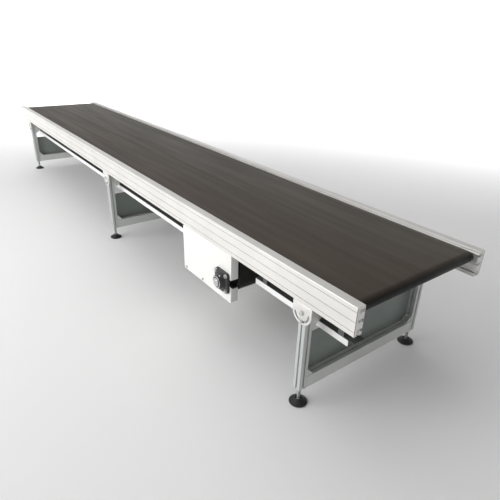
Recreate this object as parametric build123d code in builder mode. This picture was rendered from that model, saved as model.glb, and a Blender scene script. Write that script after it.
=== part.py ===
from build123d import *
from math import cos, radians, sin
import os

os.makedirs("parts", exist_ok=True)

# Slider-bed belt conveyor section on three tilting leg frames, with a centre drive under the bed.
# Millimetres. +X points to the head end, -Y is the front side and +Z is up.
# The origin is on the floor, under the middle of the conveyor.

# ---------------------------------------------------------------- driving dimensions
CONVEYOR_LENGTH = 4750.0
CONVEYOR_WIDTH = 800.0      # over the outer faces of the two rails
FOOT_HEIGHT = 80.0          # floor to the underside of the uprights, feet at mid travel
LEG_DROP = 425.0            # underside of the uprights to the underside of the rails

CELL = 40.0                 # grid of the aluminium profile system
RAIL_CELLS = 3              # a rail is one cell wide and this many cells high
PROFILE_CORNER = 2.0
SLOT_MOUTH = 8.2
SLOT_LIP = 4.0
SLOT_WIDTH = 16.0
SLOT_WALL = 6.0             # depth at which a slot's side walls start to close in
SLOT_DEPTH = 10.0
SLOT_FLOOR = 9.0
CORE_RADIUS = 3.4
CORE_TUBE_RADIUS = 5.6
CORE_RING_RADIUS = 8.0
CORE_WEB = 3.0
GROOVE_WIDTH = 1.6
GROOVE_DEPTH = 0.9

RUNNING_GAP = 0.05          # radial clearance of a shaft in its hole
SURFACE_GAP = 0.3           # between faces of pieces that move past each other

BELT_EDGE_GAP = 10.0        # belt edge to the inner face of each rail
BELT_THICKNESS = 2.5
BELT_BELOW_RAIL_TOP = 10.0
END_ROLLER_RADIUS = 25.0
END_ROLLER_INSET = 50.0     # rail end to the end roller's axis
ROLLER_WALL = 3.0
ROLLER_PAST_BELT = 2.0
ROLLER_HEAD = 18.0          # length of the bearing head in each roller end
END_AXLE_RADIUS = 10.0
IDLER_RADIUS = 25.0
IDLER_AXLE_RADIUS = 6.0
RETURN_ROLLER_COUNT = 3     # spread evenly under the return run

DRUM_RADIUS = 64.0
DRUM_WALL = 5.0
DRUM_FROM_HEAD = 800.0      # head end of the rails to the drum axis
DRUM_BELOW_RAIL = 153.0
DRUM_SHAFT_RADIUS = 15.0
DRUM_SHAFT_OVERHANG = 45.0  # past the outer face of each rail

BED_THICKNESS = 3.0
BED_FLANGE_HEIGHT = 62.5
BED_END_GAP = 10.0          # bed end to the belt's turn round the end roller
TIE_COUNT = 6
TIE_WIDTH = 30.0
TIE_HEIGHT = 15.0
TIE_END_INSET = 275.0

BRACKET_THICKNESS = 5.0
BRACKET_WIDTH = 40.0
BRACKET_MARGIN = 3.0
BRACKET_TOP_GAP = 1.0       # bed flange to the snub and return brackets

PLATE_HEIGHT = 254.0
PLATE_LENGTH = 450.0
PLATE_HEAD_OVERLAP = 65.0   # drum axis to the head-end edge of the drive plate
PLATE_RETURN = 40.0
PLATE_SHEET = 3.0
PLATE_BEND_RADIUS = 8.0
SHAFT_SLOT_HEIGHT = 48.0
BEARING_SQUARE = 108.0
BEARING_CORNER = 14.0
BEARING_BOLT_SPACING = 83.0
BEARING_FLANGE = 14.0
BEARING_HEIGHT = 40.0
BEARING_BOSS_RADIUS = 40.0
BEARING_NOSE_RADIUS = 32.0

MOTOR_FROM_DRUM = 275.0
PULLEY_WIDTH = 24.0
PULLEY_RIM = 2.0
PULLEY_RIM_HEIGHT = 3.0
DRUM_PULLEY_RADIUS = 45.0
MOTOR_PULLEY_RADIUS = 30.0
PULLEY_OFFSET = 13.0        # inner face of the drive plate to the pulley
PULLEY_TO_MOUNT = 14.0      # pulley to the gearbox side of the motor mount
MOTOR_SHAFT_RADIUS = 10.0
MOTOR_SHAFT_DEPTH = 40.0    # depth of the gearbox's hollow shaft
MOTOR_SHAFT_END_ROOM = 1.0
TIMING_BELT_THICKNESS = 4.0
TIMING_BELT_WIDTH = 18.0
MOUNT_SQUARE = 150.0
MOUNT_THICKNESS = 8.0
MOUNT_PITCH = 124.0
MOUNT_POST_RADIUS = 8.0
MOUNT_HOLE_RADIUS = 36.0
GEARBOX_SQUARE = 110.0
GEARBOX_LENGTH = 100.0
MOTOR_RADIUS = 54.0
MOTOR_LENGTH = 200.0
TERMINAL_BOX = (76.0, 70.0, 40.0)
TERMINAL_BOX_SINK = 8.0
COVER_LENGTH = 205.0
COVER_SHEET = 2.0
COVER_FLANGE = 20.0
COVER_SCREW_INSET = 20.0
COVER_SCREW_GRIP = 6.0      # length of a screw past the drive plate

GUARD_INSET = 100.0         # front rail's outer face to the guard's upright flange
GUARD_BELOW_RAIL = 113.0
GUARD_HEIGHT = 30.0
GUARD_WIDTH = 60.0
GUARD_SHEET = 2.0
GUARD_END_INSET = 67.0      # rail end to the guard's top flange
GUARD_NOTCH = 30.0
GUARD_DRIVE_GAP = 60.0      # head-end edge of the drive plate to the guard
GUARD_TAIL_GAP = 10.0       # tail-end edge of the drive plate to the guard
HANGER_WIDTH = 30.0
HANGER_INSET = 68.0         # end of a guard run to its outermost hanger

LEG_END_INSET = 255.0       # rail end to the middle of an end leg
MIDDLE_LEG_X = 70.0
PIVOT_DROP = 40.0           # underside of the rail to the leg pivot
PIVOT_PLATE_RADIUS = 52.0
PIVOT_PLATE_THICKNESS = 6.0
PIVOT_BOLT_INSET = 12.0     # edge of the pivot plate to its bolts in the rail
ARC_RADIUS = 38.0
ARC_HALF_WIDTH = 4.5
ARC_START = -165.0
ARC_SPAN = 165.0
UPRIGHT_ABOVE_PIVOT = 25.0
TILT_LIMIT = 30.0
CROSSBAR_HEIGHT = 60.0
FOOT_BRACKET = 38.0
TOP_GUSSET = (90.0, 75.0)
GUSSET_WALL = 5.0
BRACKET_FACE = 34.0
BRACKET_SCREW_AT = 19.0     # corner to each bracket screw
PANEL_THICKNESS = 3.0
PANEL_LAP = 30.0
PANEL_GUARD_GAP = 10.0
PANEL_SHOULDER_ROOM = 3.0

PIVOT_BOLT_RADIUS = 5.0
PIVOT_BOLT_DEPTH = 32.0
SCREW_RADIUS = 4.0
SLOT_GRIP = 8.0             # length of a bolt inside a T-slot
BIG_HEX = (9.8, 6.4)        # corner radius and height of the hexagon heads
SMALL_HEX = (7.5, 5.3)
NUT_THICKNESS = 8.0
COVER_SCREW_HEAD = (7.0, 4.0)
BRACKET_SCREW_HEAD = (6.5, 5.0)
PANEL_SCREW_HEAD = (5.5, 3.0)
PANEL_SCREW_RADIUS = 3.0
PANEL_SCREW_GRIP = 6.0

STEM_RADIUS = 8.0
STEM_IN_LEG = 40.0
STEM_RETRACT = 15.0
STEM_END_ROOM = 5.0
STEM_NECK_RADIUS = 5.0
BALL_RADIUS = 10.0
BALL_HEIGHT = 14.0
NECK_TOP = 28.0
NUT_RADIUS = 13.8
NUT_HEIGHT = 13.0
PAD_RADIUS = 40.0
PAD_RIM = 5.0
PAD_HUB_RADIUS = 16.0
PAD_HEIGHT = 24.0
PAD_CROWN = ((PAD_RADIUS + PAD_HUB_RADIUS) / 2 + 3.0, (PAD_HEIGHT + PAD_RIM) / 2 + 2.0)
SOCKET_MOUTH = 8.0
SOCKET_FLARE = 3.0
SOCKET_CUT_MARGIN = 1.0

# ---------------------------------------------------------------- derived places
HALF_LENGTH = CONVEYOR_LENGTH / 2
HALF_WIDTH = CONVEYOR_WIDTH / 2
UPRIGHT_BOTTOM = FOOT_HEIGHT
RAIL_BOTTOM = FOOT_HEIGHT + LEG_DROP
RAIL_HEIGHT = RAIL_CELLS * CELL
RAIL_TOP = RAIL_BOTTOM + RAIL_HEIGHT
RAIL_Y = HALF_WIDTH - CELL / 2
RAIL_INNER = HALF_WIDTH - CELL
BELT_WIDTH = 2 * (RAIL_INNER - BELT_EDGE_GAP)
LEG_X = {"head": HALF_LENGTH - LEG_END_INSET, "middle": MIDDLE_LEG_X, "tail": LEG_END_INSET - HALF_LENGTH}

BELT_TOP = RAIL_TOP - BELT_BELOW_RAIL_TOP
BELT_MID = BELT_THICKNESS / 2
END_TURN = END_ROLLER_RADIUS + SURFACE_GAP + BELT_MID       # belt centreline round an end roller
IDLER_TURN = IDLER_RADIUS + SURFACE_GAP + BELT_MID          # belt centreline over a snub roller
DRUM_TURN = DRUM_RADIUS + SURFACE_GAP + BELT_MID            # belt centreline round the drum
END_X = HALF_LENGTH - END_ROLLER_INSET
END_Z = BELT_TOP - BELT_MID - END_TURN
RETURN_Z = END_Z - END_TURN                                 # centreline of the return run
IDLER_Z = RETURN_Z - IDLER_TURN
DRUM_X = HALF_LENGTH - DRUM_FROM_HEAD
DRUM_Z = RAIL_BOTTOM - DRUM_BELOW_RAIL
SNUB_OFFSET = DRUM_TURN + IDLER_TURN
BED_TOP = BELT_TOP - BELT_THICKNESS
BED_HALF = END_X - END_ROLLER_RADIUS - BED_END_GAP
ROLLER_HALF = BELT_WIDTH / 2 + ROLLER_PAST_BELT

PLATE_HEAD_X = DRUM_X + PLATE_HEAD_OVERLAP
PLATE_TAIL_X = PLATE_HEAD_X - PLATE_LENGTH
PLATE_MID_X = (PLATE_HEAD_X + PLATE_TAIL_X) / 2
PLATE_BOTTOM = RAIL_BOTTOM - PLATE_HEIGHT
PLATE_INNER = HALF_WIDTH - PLATE_SHEET
MOTOR_X = DRUM_X - MOTOR_FROM_DRUM
PULLEY_Y = PLATE_INNER - PULLEY_OFFSET - PULLEY_WIDTH / 2
MOUNT_Y = PULLEY_Y - PULLEY_WIDTH / 2 - PULLEY_TO_MOUNT
COVER_TAIL_X = PLATE_TAIL_X + PLATE_BEND_RADIUS

GUARD_Y = HALF_WIDTH - GUARD_INSET
GUARD_TOP = RAIL_BOTTOM - GUARD_BELOW_RAIL
GUARD_END = HALF_LENGTH - GUARD_END_INSET

PIVOT_Z = RAIL_BOTTOM - PIVOT_DROP
UPRIGHT_TOP = PIVOT_Z + UPRIGHT_ABOVE_PIVOT
UPRIGHT_OUTER = HALF_WIDTH - PIVOT_PLATE_THICKNESS - SURFACE_GAP
UPRIGHT_Y = UPRIGHT_OUTER - CELL / 2
UPRIGHT_INNER = UPRIGHT_OUTER - CELL
TIE_BOTTOM = UPRIGHT_TOP - CELL
CROSSBAR_TOP = UPRIGHT_BOTTOM + CROSSBAR_HEIGHT
PANEL_BACK = CELL / 2 + PANEL_THICKNESS
# The panel's corners stay under the guards over the whole tilt.
PANEL_SHOULDER_DROP = (
    GUARD_BELOW_RAIL + GUARD_HEIGHT - PIVOT_DROP + SURFACE_GAP + PANEL_BACK * sin(radians(TILT_LIMIT))
) / cos(radians(TILT_LIMIT)) + PANEL_SHOULDER_ROOM
PANEL_SHOULDER = PIVOT_Z - PANEL_SHOULDER_DROP

SIDES = {"front": -1, "back": 1}


# ---------------------------------------------------------------- shared shapes
def out_of(side):
    """Turn of a piece whose own +Z points out of the front or back side."""
    return (-90.0 * side, 0.0, 0.0)


def cut_slot(x, y, turn):
    """Cut a T-slot in the sketch, with its mouth centred on (x, y), open to local +Y before the turn."""
    outline = [
        (-SLOT_MOUTH / 2, 0), (-SLOT_MOUTH / 2, -SLOT_LIP), (-SLOT_WIDTH / 2, -SLOT_LIP),
        (-SLOT_WIDTH / 2, -SLOT_WALL), (-SLOT_FLOOR / 2, -SLOT_DEPTH), (SLOT_FLOOR / 2, -SLOT_DEPTH),
        (SLOT_WIDTH / 2, -SLOT_WALL), (SLOT_WIDTH / 2, -SLOT_LIP), (SLOT_MOUTH / 2, -SLOT_LIP),
        (SLOT_MOUTH / 2, 0),
    ]
    with Locations(Location((x, y, 0), (0, 0, turn))):
        Polygon(*outline, align=None, mode=Mode.SUBTRACT)


def cut_core(x, y):
    """Cut a profile's core hole and the four hollow arcs round its tube."""
    ring = Circle(CORE_RING_RADIUS, mode=Mode.PRIVATE) - Circle(CORE_TUBE_RADIUS, mode=Mode.PRIVATE)
    ring -= Rectangle(3 * CORE_RING_RADIUS, CORE_WEB, mode=Mode.PRIVATE)
    ring -= Rectangle(CORE_WEB, 3 * CORE_RING_RADIUS, mode=Mode.PRIVATE)
    with Locations((x, y)):
        Circle(CORE_RADIUS, mode=Mode.SUBTRACT)
        add(ring, mode=Mode.SUBTRACT)


def hex_bolt(shank_radius, length, head_radius, head_height, nut_height=0.0):
    """A hexagon bolt seated on z = 0 with its shank downwards, and a nut on its end if it has one."""
    with BuildPart() as bolt:
        with BuildSketch():
            RegularPolygon(head_radius, 6)
        extrude(amount=head_height)
        with BuildSketch():
            Circle(shank_radius)
        extrude(amount=-length)
        if nut_height:
            with BuildSketch(Plane.XY.offset(-length)):
                RegularPolygon(head_radius, 6)
            extrude(amount=nut_height)
    return bolt.part


def cap_screw(shank_radius, length, head_radius, head_height):
    """A round-headed screw seated on z = 0 with its shank downwards."""
    with BuildPart() as screw:
        Cylinder(head_radius, head_height, align=(Align.CENTER, Align.CENTER, Align.MIN))
        Cylinder(shank_radius, length, align=(Align.CENTER, Align.CENTER, Align.MAX))
    return screw.part


def roller(x, z, radius, half_length, bore):
    """A hollow roller along Y with a bearing head in each end."""
    inner = radius - ROLLER_WALL
    head = half_length - ROLLER_HEAD
    outline = [
        (-half_length, z + bore), (-half_length, z + radius),
        (half_length, z + radius), (half_length, z + bore),
        (head, z + bore), (head, z + inner), (-head, z + inner), (-head, z + bore),
    ]
    with BuildPart() as piece:
        with BuildSketch(Plane.YZ.offset(x)):
            Polygon(*outline, align=None)
        revolve(axis=Axis((x, 0, z), (0, 1, 0)))
    return piece


def across(x, z, radius, start, end, mode=Mode.ADD):
    """Add a round bar along Y to the part, or cut one from it."""
    with Locations(Location((x, (start + end) / 2, z), (90, 0, 0))):
        Cylinder(radius, end - start, mode=mode)


def finish(piece, name):
    """Label a finished piece and write its STEP file."""
    piece.part.label = name
    export_step(piece.part, f"parts/{name}.step")


# ---------------------------------------------------------------- side rails
for side_name, side in SIDES.items():
    with BuildPart() as rail:
        with BuildSketch(Plane.YZ.offset(-HALF_LENGTH)):
            with Locations((side * RAIL_Y, RAIL_BOTTOM + RAIL_HEIGHT / 2)):
                RectangleRounded(CELL, RAIL_HEIGHT, PROFILE_CORNER)
            for cell in range(RAIL_CELLS):
                cell_z = RAIL_BOTTOM + (cell + 0.5) * CELL
                cut_core(side * RAIL_Y, cell_z)
                cut_slot(side * RAIL_INNER, cell_z, 90 * side)
                with Locations((side * HALF_WIDTH, cell_z)):
                    Rectangle(2 * GROOVE_DEPTH, GROOVE_WIDTH, mode=Mode.SUBTRACT)
            cut_slot(side * RAIL_Y, RAIL_BOTTOM, 180)
        extrude(amount=CONVEYOR_LENGTH)
    finish(rail, f"{side_name}_rail")

# ---------------------------------------------------------------- slider bed and its ties
with BuildPart() as slider_bed:
    with BuildSketch(Plane.YZ.offset(-BED_HALF)):
        with Locations((0, BED_TOP)):
            Rectangle(2 * RAIL_INNER, BED_THICKNESS, align=(Align.CENTER, Align.MAX))
        for side in SIDES.values():
            with Locations((side * (RAIL_INNER - BED_THICKNESS / 2), BED_TOP)):
                Rectangle(BED_THICKNESS, BED_FLANGE_HEIGHT, align=(Align.CENTER, Align.MAX))
    extrude(amount=2 * BED_HALF)
finish(slider_bed, "slider_bed")

tie_span = 2 * (HALF_LENGTH - TIE_END_INSET)
with BuildPart() as bed_cross_ties:
    with Locations((0, 0, BED_TOP - BED_THICKNESS - TIE_HEIGHT / 2)):
        with GridLocations(tie_span / (TIE_COUNT - 1), 1, TIE_COUNT, 1):
            Box(TIE_WIDTH, 2 * (RAIL_INNER - BED_THICKNESS), TIE_HEIGHT)
finish(bed_cross_ties, "bed_cross_ties")


# ---------------------------------------------------------------- belt
def belt_loop(grow):
    """The face inside the belt's closed path in X and Z, moved out of the loop by grow."""
    end_turn = END_TURN + grow
    drum_turn = DRUM_TURN + grow
    idler_turn = IDLER_TURN - grow
    top = END_Z + end_turn
    under = END_Z - end_turn
    head_snub = DRUM_X + SNUB_OFFSET
    tail_snub = DRUM_X - SNUB_OFFSET
    bend = idler_turn * cos(radians(45))
    with BuildSketch() as loop:
        with BuildLine():
            Line((-END_X, top), (END_X, top))
            ThreePointArc((END_X, top), (END_X + end_turn, END_Z), (END_X, under))
            Line((END_X, under), (head_snub, under))
            ThreePointArc((head_snub, under), (head_snub - bend, IDLER_Z + bend),
                          (head_snub - idler_turn, IDLER_Z))
            Line((head_snub - idler_turn, IDLER_Z), (DRUM_X + drum_turn, DRUM_Z))
            ThreePointArc((DRUM_X + drum_turn, DRUM_Z), (DRUM_X, DRUM_Z - drum_turn),
                          (DRUM_X - drum_turn, DRUM_Z))
            Line((DRUM_X - drum_turn, DRUM_Z), (tail_snub + idler_turn, IDLER_Z))
            ThreePointArc((tail_snub + idler_turn, IDLER_Z), (tail_snub + bend, IDLER_Z + bend),
                          (tail_snub, under))
            Line((tail_snub, under), (-END_X, under))
            ThreePointArc((-END_X, under), (-END_X - end_turn, END_Z), (-END_X, top))
        make_face()
    return loop.sketch


belt_outside = belt_loop(BELT_MID)
belt_inside = belt_loop(-BELT_MID)
with BuildPart() as belt:
    with BuildSketch(Plane.XZ.offset(-BELT_WIDTH / 2)):
        add(belt_outside)
        add(belt_inside, mode=Mode.SUBTRACT)
    extrude(amount=BELT_WIDTH)
finish(belt, "belt")

# ---------------------------------------------------------------- rollers, their axles and brackets
for end_name, end_x in (("head", END_X), ("tail", -END_X)):
    end_roller = roller(end_x, END_Z, END_ROLLER_RADIUS, ROLLER_HALF, END_AXLE_RADIUS + RUNNING_GAP)
    finish(end_roller, f"{end_name}_roller")

idlers = {
    "head_snub_roller": DRUM_X + SNUB_OFFSET,
    "tail_snub_roller": DRUM_X - SNUB_OFFSET,
}
return_pitch = (DRUM_X - SNUB_OFFSET + END_X) / (RETURN_ROLLER_COUNT + 1)
for number in range(1, RETURN_ROLLER_COUNT + 1):
    idlers[f"return_roller_{number}"] = number * return_pitch - END_X
# The return rollers stand a running gap under the belt, which puts their axes level with the snub rollers.
for idler_name, idler_x in idlers.items():
    idler = roller(idler_x, IDLER_Z, IDLER_RADIUS, ROLLER_HALF, IDLER_AXLE_RADIUS + RUNNING_GAP)
    finish(idler, idler_name)

with BuildPart() as roller_axles:
    for end_x in (END_X, -END_X):
        across(end_x, END_Z, END_AXLE_RADIUS, -RAIL_INNER, RAIL_INNER)
    for idler_x in idlers.values():
        across(idler_x, IDLER_Z, IDLER_AXLE_RADIUS, -RAIL_INNER, RAIL_INNER)
finish(roller_axles, "roller_axles")

bed_flange_bottom = BED_TOP - BED_FLANGE_HEIGHT
idler_bracket_top = bed_flange_bottom - BRACKET_TOP_GAP
idler_bracket_height = idler_bracket_top - RAIL_BOTTOM - BRACKET_MARGIN
end_bracket_length = HALF_LENGTH - BED_HALF - 2 * BRACKET_MARGIN
end_bracket_x = BED_HALF + BRACKET_MARGIN + end_bracket_length / 2
end_bracket_height = 2 * (BELT_TOP - END_Z - BRACKET_MARGIN)
with BuildPart() as roller_brackets:
    for side in SIDES.values():
        with BuildSketch(Plane.XZ.offset(-side * RAIL_INNER)):
            for end in (-1, 1):
                with Locations((end * end_bracket_x, END_Z)):
                    Rectangle(end_bracket_length, end_bracket_height)
                with Locations((end * END_X, END_Z)):
                    Circle(END_AXLE_RADIUS, mode=Mode.SUBTRACT)
            for idler_x in idlers.values():
                with Locations((idler_x, idler_bracket_top)):
                    Rectangle(BRACKET_WIDTH, idler_bracket_height, align=(Align.CENTER, Align.MAX))
                with Locations((idler_x, IDLER_Z)):
                    Circle(IDLER_AXLE_RADIUS, mode=Mode.SUBTRACT)
        extrude(amount=side * BRACKET_THICKNESS)
finish(roller_brackets, "roller_brackets")

# ---------------------------------------------------------------- drive plates, drum and drum bearings
bearing_bolt_at = BEARING_BOLT_SPACING / 2
cover_screw_x = (COVER_TAIL_X + COVER_SCREW_INSET, COVER_TAIL_X + COVER_LENGTH - COVER_SCREW_INSET)
cover_screw_z = PLATE_BOTTOM + PLATE_SHEET + COVER_SHEET + COVER_FLANGE / 2
for side_name, side in SIDES.items():
    with BuildPart() as drive_plate:
        with BuildSketch(Plane.XZ.offset(-side * HALF_WIDTH)):
            with Locations((PLATE_MID_X, PLATE_BOTTOM + PLATE_HEIGHT / 2)):
                RectangleRounded(PLATE_LENGTH, PLATE_HEIGHT, PLATE_BEND_RADIUS)
        extrude(amount=side * PLATE_RETURN)
        open_face = drive_plate.faces().sort_by(Axis.Y)[-1 if side < 0 else 0]
        offset(amount=-PLATE_SHEET, openings=open_face, kind=Kind.INTERSECTION)
        with BuildSketch(Plane.XZ.offset(-side * HALF_WIDTH)):
            with Locations((DRUM_X, DRUM_Z)):
                Circle(SHAFT_SLOT_HEIGHT / 2)
                Rectangle(PLATE_HEAD_OVERLAP, SHAFT_SLOT_HEIGHT, align=(Align.MIN, Align.CENTER))
        extrude(amount=side * PLATE_RETURN, mode=Mode.SUBTRACT)
        with BuildSketch(Plane.XZ.offset(-side * HALF_WIDTH)):
            with Locations((DRUM_X, DRUM_Z)):
                with GridLocations(BEARING_BOLT_SPACING, BEARING_BOLT_SPACING, 2, 2):
                    Circle(PIVOT_BOLT_RADIUS + RUNNING_GAP)
            with Locations(*[(screw_x, cover_screw_z) for screw_x in cover_screw_x]):
                Circle(SCREW_RADIUS)
        extrude(amount=side * 2 * PLATE_SHEET, mode=Mode.SUBTRACT)
    finish(drive_plate, f"{side_name}_drive_plate")

with BuildPart() as drum_bearings:
    for side in SIDES.values():
        with BuildSketch(Plane.XZ.offset(-side * HALF_WIDTH)):
            with Locations((DRUM_X, DRUM_Z)):
                RectangleRounded(BEARING_SQUARE, BEARING_SQUARE, BEARING_CORNER)
        extrude(amount=-side * BEARING_FLANGE)
        with BuildSketch(Plane.XZ.offset(-side * (HALF_WIDTH + BEARING_FLANGE))):
            with Locations((DRUM_X, DRUM_Z)):
                Circle(BEARING_BOSS_RADIUS)
        with BuildSketch(Plane.XZ.offset(-side * (HALF_WIDTH + BEARING_HEIGHT))):
            with Locations((DRUM_X, DRUM_Z)):
                Circle(BEARING_NOSE_RADIUS)
        loft()
        with BuildSketch(Plane.XZ.offset(-side * (HALF_WIDTH + BEARING_HEIGHT))):
            with Locations((DRUM_X, DRUM_Z)):
                Circle(DRUM_SHAFT_RADIUS + RUNNING_GAP)
                with GridLocations(BEARING_BOLT_SPACING, BEARING_BOLT_SPACING, 2, 2):
                    Circle(PIVOT_BOLT_RADIUS)
        extrude(amount=side * BEARING_HEIGHT, mode=Mode.SUBTRACT)
finish(drum_bearings, "drum_bearings")

drum_half = BELT_WIDTH / 2
drum_inner = DRUM_RADIUS - DRUM_WALL
drum_head = drum_half - ROLLER_HEAD
shaft_half = HALF_WIDTH + DRUM_SHAFT_OVERHANG
with BuildPart() as drive_drum:
    with BuildSketch(Plane.YZ.offset(DRUM_X)):
        with Locations((0, DRUM_Z)):
            Rectangle(2 * drum_half, DRUM_RADIUS, align=(Align.CENTER, Align.MIN))
        with Locations((0, DRUM_Z + DRUM_SHAFT_RADIUS)):
            Rectangle(2 * drum_head, drum_inner - DRUM_SHAFT_RADIUS, align=(Align.CENTER, Align.MIN),
                      mode=Mode.SUBTRACT)
        with Locations((0, DRUM_Z)):
            Rectangle(2 * shaft_half, DRUM_SHAFT_RADIUS, align=(Align.CENTER, Align.MIN))
    revolve(axis=Axis((DRUM_X, 0, DRUM_Z), (0, 1, 0)))
finish(drive_drum, "drive_drum")


# ---------------------------------------------------------------- gear motor and its timing belt
def pulley(x, radius):
    """Add a flanged timing pulley on the back side to the part."""
    near, far = PULLEY_Y - PULLEY_WIDTH / 2, PULLEY_Y + PULLEY_WIDTH / 2
    across(x, DRUM_Z, radius, near, far)
    across(x, DRUM_Z, radius + PULLEY_RIM_HEIGHT, near, near + PULLEY_RIM)
    across(x, DRUM_Z, radius + PULLEY_RIM_HEIGHT, far - PULLEY_RIM, far)


with BuildPart() as drum_pulley:
    pulley(DRUM_X, DRUM_PULLEY_RADIUS)
    across(DRUM_X, DRUM_Z, DRUM_SHAFT_RADIUS, -HALF_WIDTH, HALF_WIDTH, mode=Mode.SUBTRACT)
finish(drum_pulley, "drum_pulley")

with BuildPart() as motor_pulley:
    pulley(MOTOR_X, MOTOR_PULLEY_RADIUS)
    across(MOTOR_X, DRUM_Z, MOTOR_SHAFT_RADIUS,
           MOUNT_Y - MOTOR_SHAFT_DEPTH + MOTOR_SHAFT_END_ROOM, PULLEY_Y)
finish(motor_pulley, "motor_pulley")

with BuildPart() as timing_belt:
    with BuildSketch(Plane.XZ.offset(-PULLEY_Y - TIMING_BELT_WIDTH / 2)):
        for grow, mode in ((TIMING_BELT_THICKNESS, Mode.ADD), (0.0, Mode.SUBTRACT)):
            drum_turn = DRUM_PULLEY_RADIUS + SURFACE_GAP + grow
            motor_turn = MOTOR_PULLEY_RADIUS + SURFACE_GAP + grow
            lean_cos = (drum_turn - motor_turn) / MOTOR_FROM_DRUM
            lean_sin = (1 - lean_cos ** 2) ** 0.5
            drum_touch = (DRUM_X - drum_turn * lean_cos, drum_turn * lean_sin)
            motor_touch = (MOTOR_X - motor_turn * lean_cos, motor_turn * lean_sin)
            with BuildLine():
                Line((drum_touch[0], DRUM_Z + drum_touch[1]), (motor_touch[0], DRUM_Z + motor_touch[1]))
                ThreePointArc((motor_touch[0], DRUM_Z + motor_touch[1]), (MOTOR_X - motor_turn, DRUM_Z),
                              (motor_touch[0], DRUM_Z - motor_touch[1]))
                Line((motor_touch[0], DRUM_Z - motor_touch[1]), (drum_touch[0], DRUM_Z - drum_touch[1]))
                ThreePointArc((drum_touch[0], DRUM_Z - drum_touch[1]), (DRUM_X + drum_turn, DRUM_Z),
                              (drum_touch[0], DRUM_Z + drum_touch[1]))
            make_face(mode=mode)
    extrude(amount=TIMING_BELT_WIDTH)
finish(timing_belt, "timing_belt")

with BuildPart() as motor_mount:
    with BuildSketch(Plane.XZ.offset(-MOUNT_Y)):
        with Locations((MOTOR_X, DRUM_Z)):
            RectangleRounded(MOUNT_SQUARE, MOUNT_SQUARE, PLATE_BEND_RADIUS)
            Circle(MOUNT_HOLE_RADIUS, mode=Mode.SUBTRACT)
    extrude(amount=-MOUNT_THICKNESS)
    with BuildSketch(Plane.XZ.offset(-PLATE_INNER)):
        with Locations((MOTOR_X, DRUM_Z)):
            with GridLocations(MOUNT_PITCH, MOUNT_PITCH, 2, 2):
                Circle(MOUNT_POST_RADIUS)
    extrude(amount=PLATE_INNER - MOUNT_Y - MOUNT_THICKNESS)
finish(motor_mount, "motor_mount")

with BuildPart() as gearmotor:
    with BuildSketch(Plane.XZ.offset(-MOUNT_Y)):
        with Locations((MOTOR_X, DRUM_Z)):
            RectangleRounded(GEARBOX_SQUARE, GEARBOX_SQUARE, PLATE_BEND_RADIUS)
    extrude(amount=GEARBOX_LENGTH)
    with BuildSketch(Plane.XZ.offset(GEARBOX_LENGTH - MOUNT_Y)):
        with Locations((MOTOR_X, DRUM_Z)):
            Circle(MOTOR_RADIUS)
    extrude(amount=MOTOR_LENGTH)
    with Locations((MOTOR_X, MOUNT_Y - GEARBOX_LENGTH - MOTOR_LENGTH / 2,
                    DRUM_Z + MOTOR_RADIUS - TERMINAL_BOX_SINK)):
        Box(*TERMINAL_BOX, align=(Align.CENTER, Align.CENTER, Align.MIN))
    with BuildSketch(Plane.XZ.offset(-MOUNT_Y)):
        with Locations((MOTOR_X, DRUM_Z)):
            Circle(MOTOR_SHAFT_RADIUS + RUNNING_GAP)
    extrude(amount=MOTOR_SHAFT_DEPTH, mode=Mode.SUBTRACT)
finish(gearmotor, "gearmotor")

cover_z = PLATE_BOTTOM + PLATE_SHEET
with BuildPart() as drive_bottom_cover:
    with BuildSketch(Plane.YZ.offset(COVER_TAIL_X)):
        with Locations((0, cover_z)):
            Rectangle(2 * PLATE_INNER, COVER_SHEET, align=(Align.CENTER, Align.MIN))
        for side in SIDES.values():
            with Locations((side * (PLATE_INNER - COVER_SHEET / 2), cover_z)):
                Rectangle(COVER_SHEET, COVER_SHEET + COVER_FLANGE, align=(Align.CENTER, Align.MIN))
    extrude(amount=COVER_LENGTH)
    for side in SIDES.values():
        with BuildSketch(Plane.XZ.offset(-side * PLATE_INNER)):
            with Locations(*[(screw_x, cover_screw_z) for screw_x in cover_screw_x]):
                Circle(SCREW_RADIUS)
        extrude(amount=side * COVER_SHEET, mode=Mode.SUBTRACT)
finish(drive_bottom_cover, "drive_bottom_cover")

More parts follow.
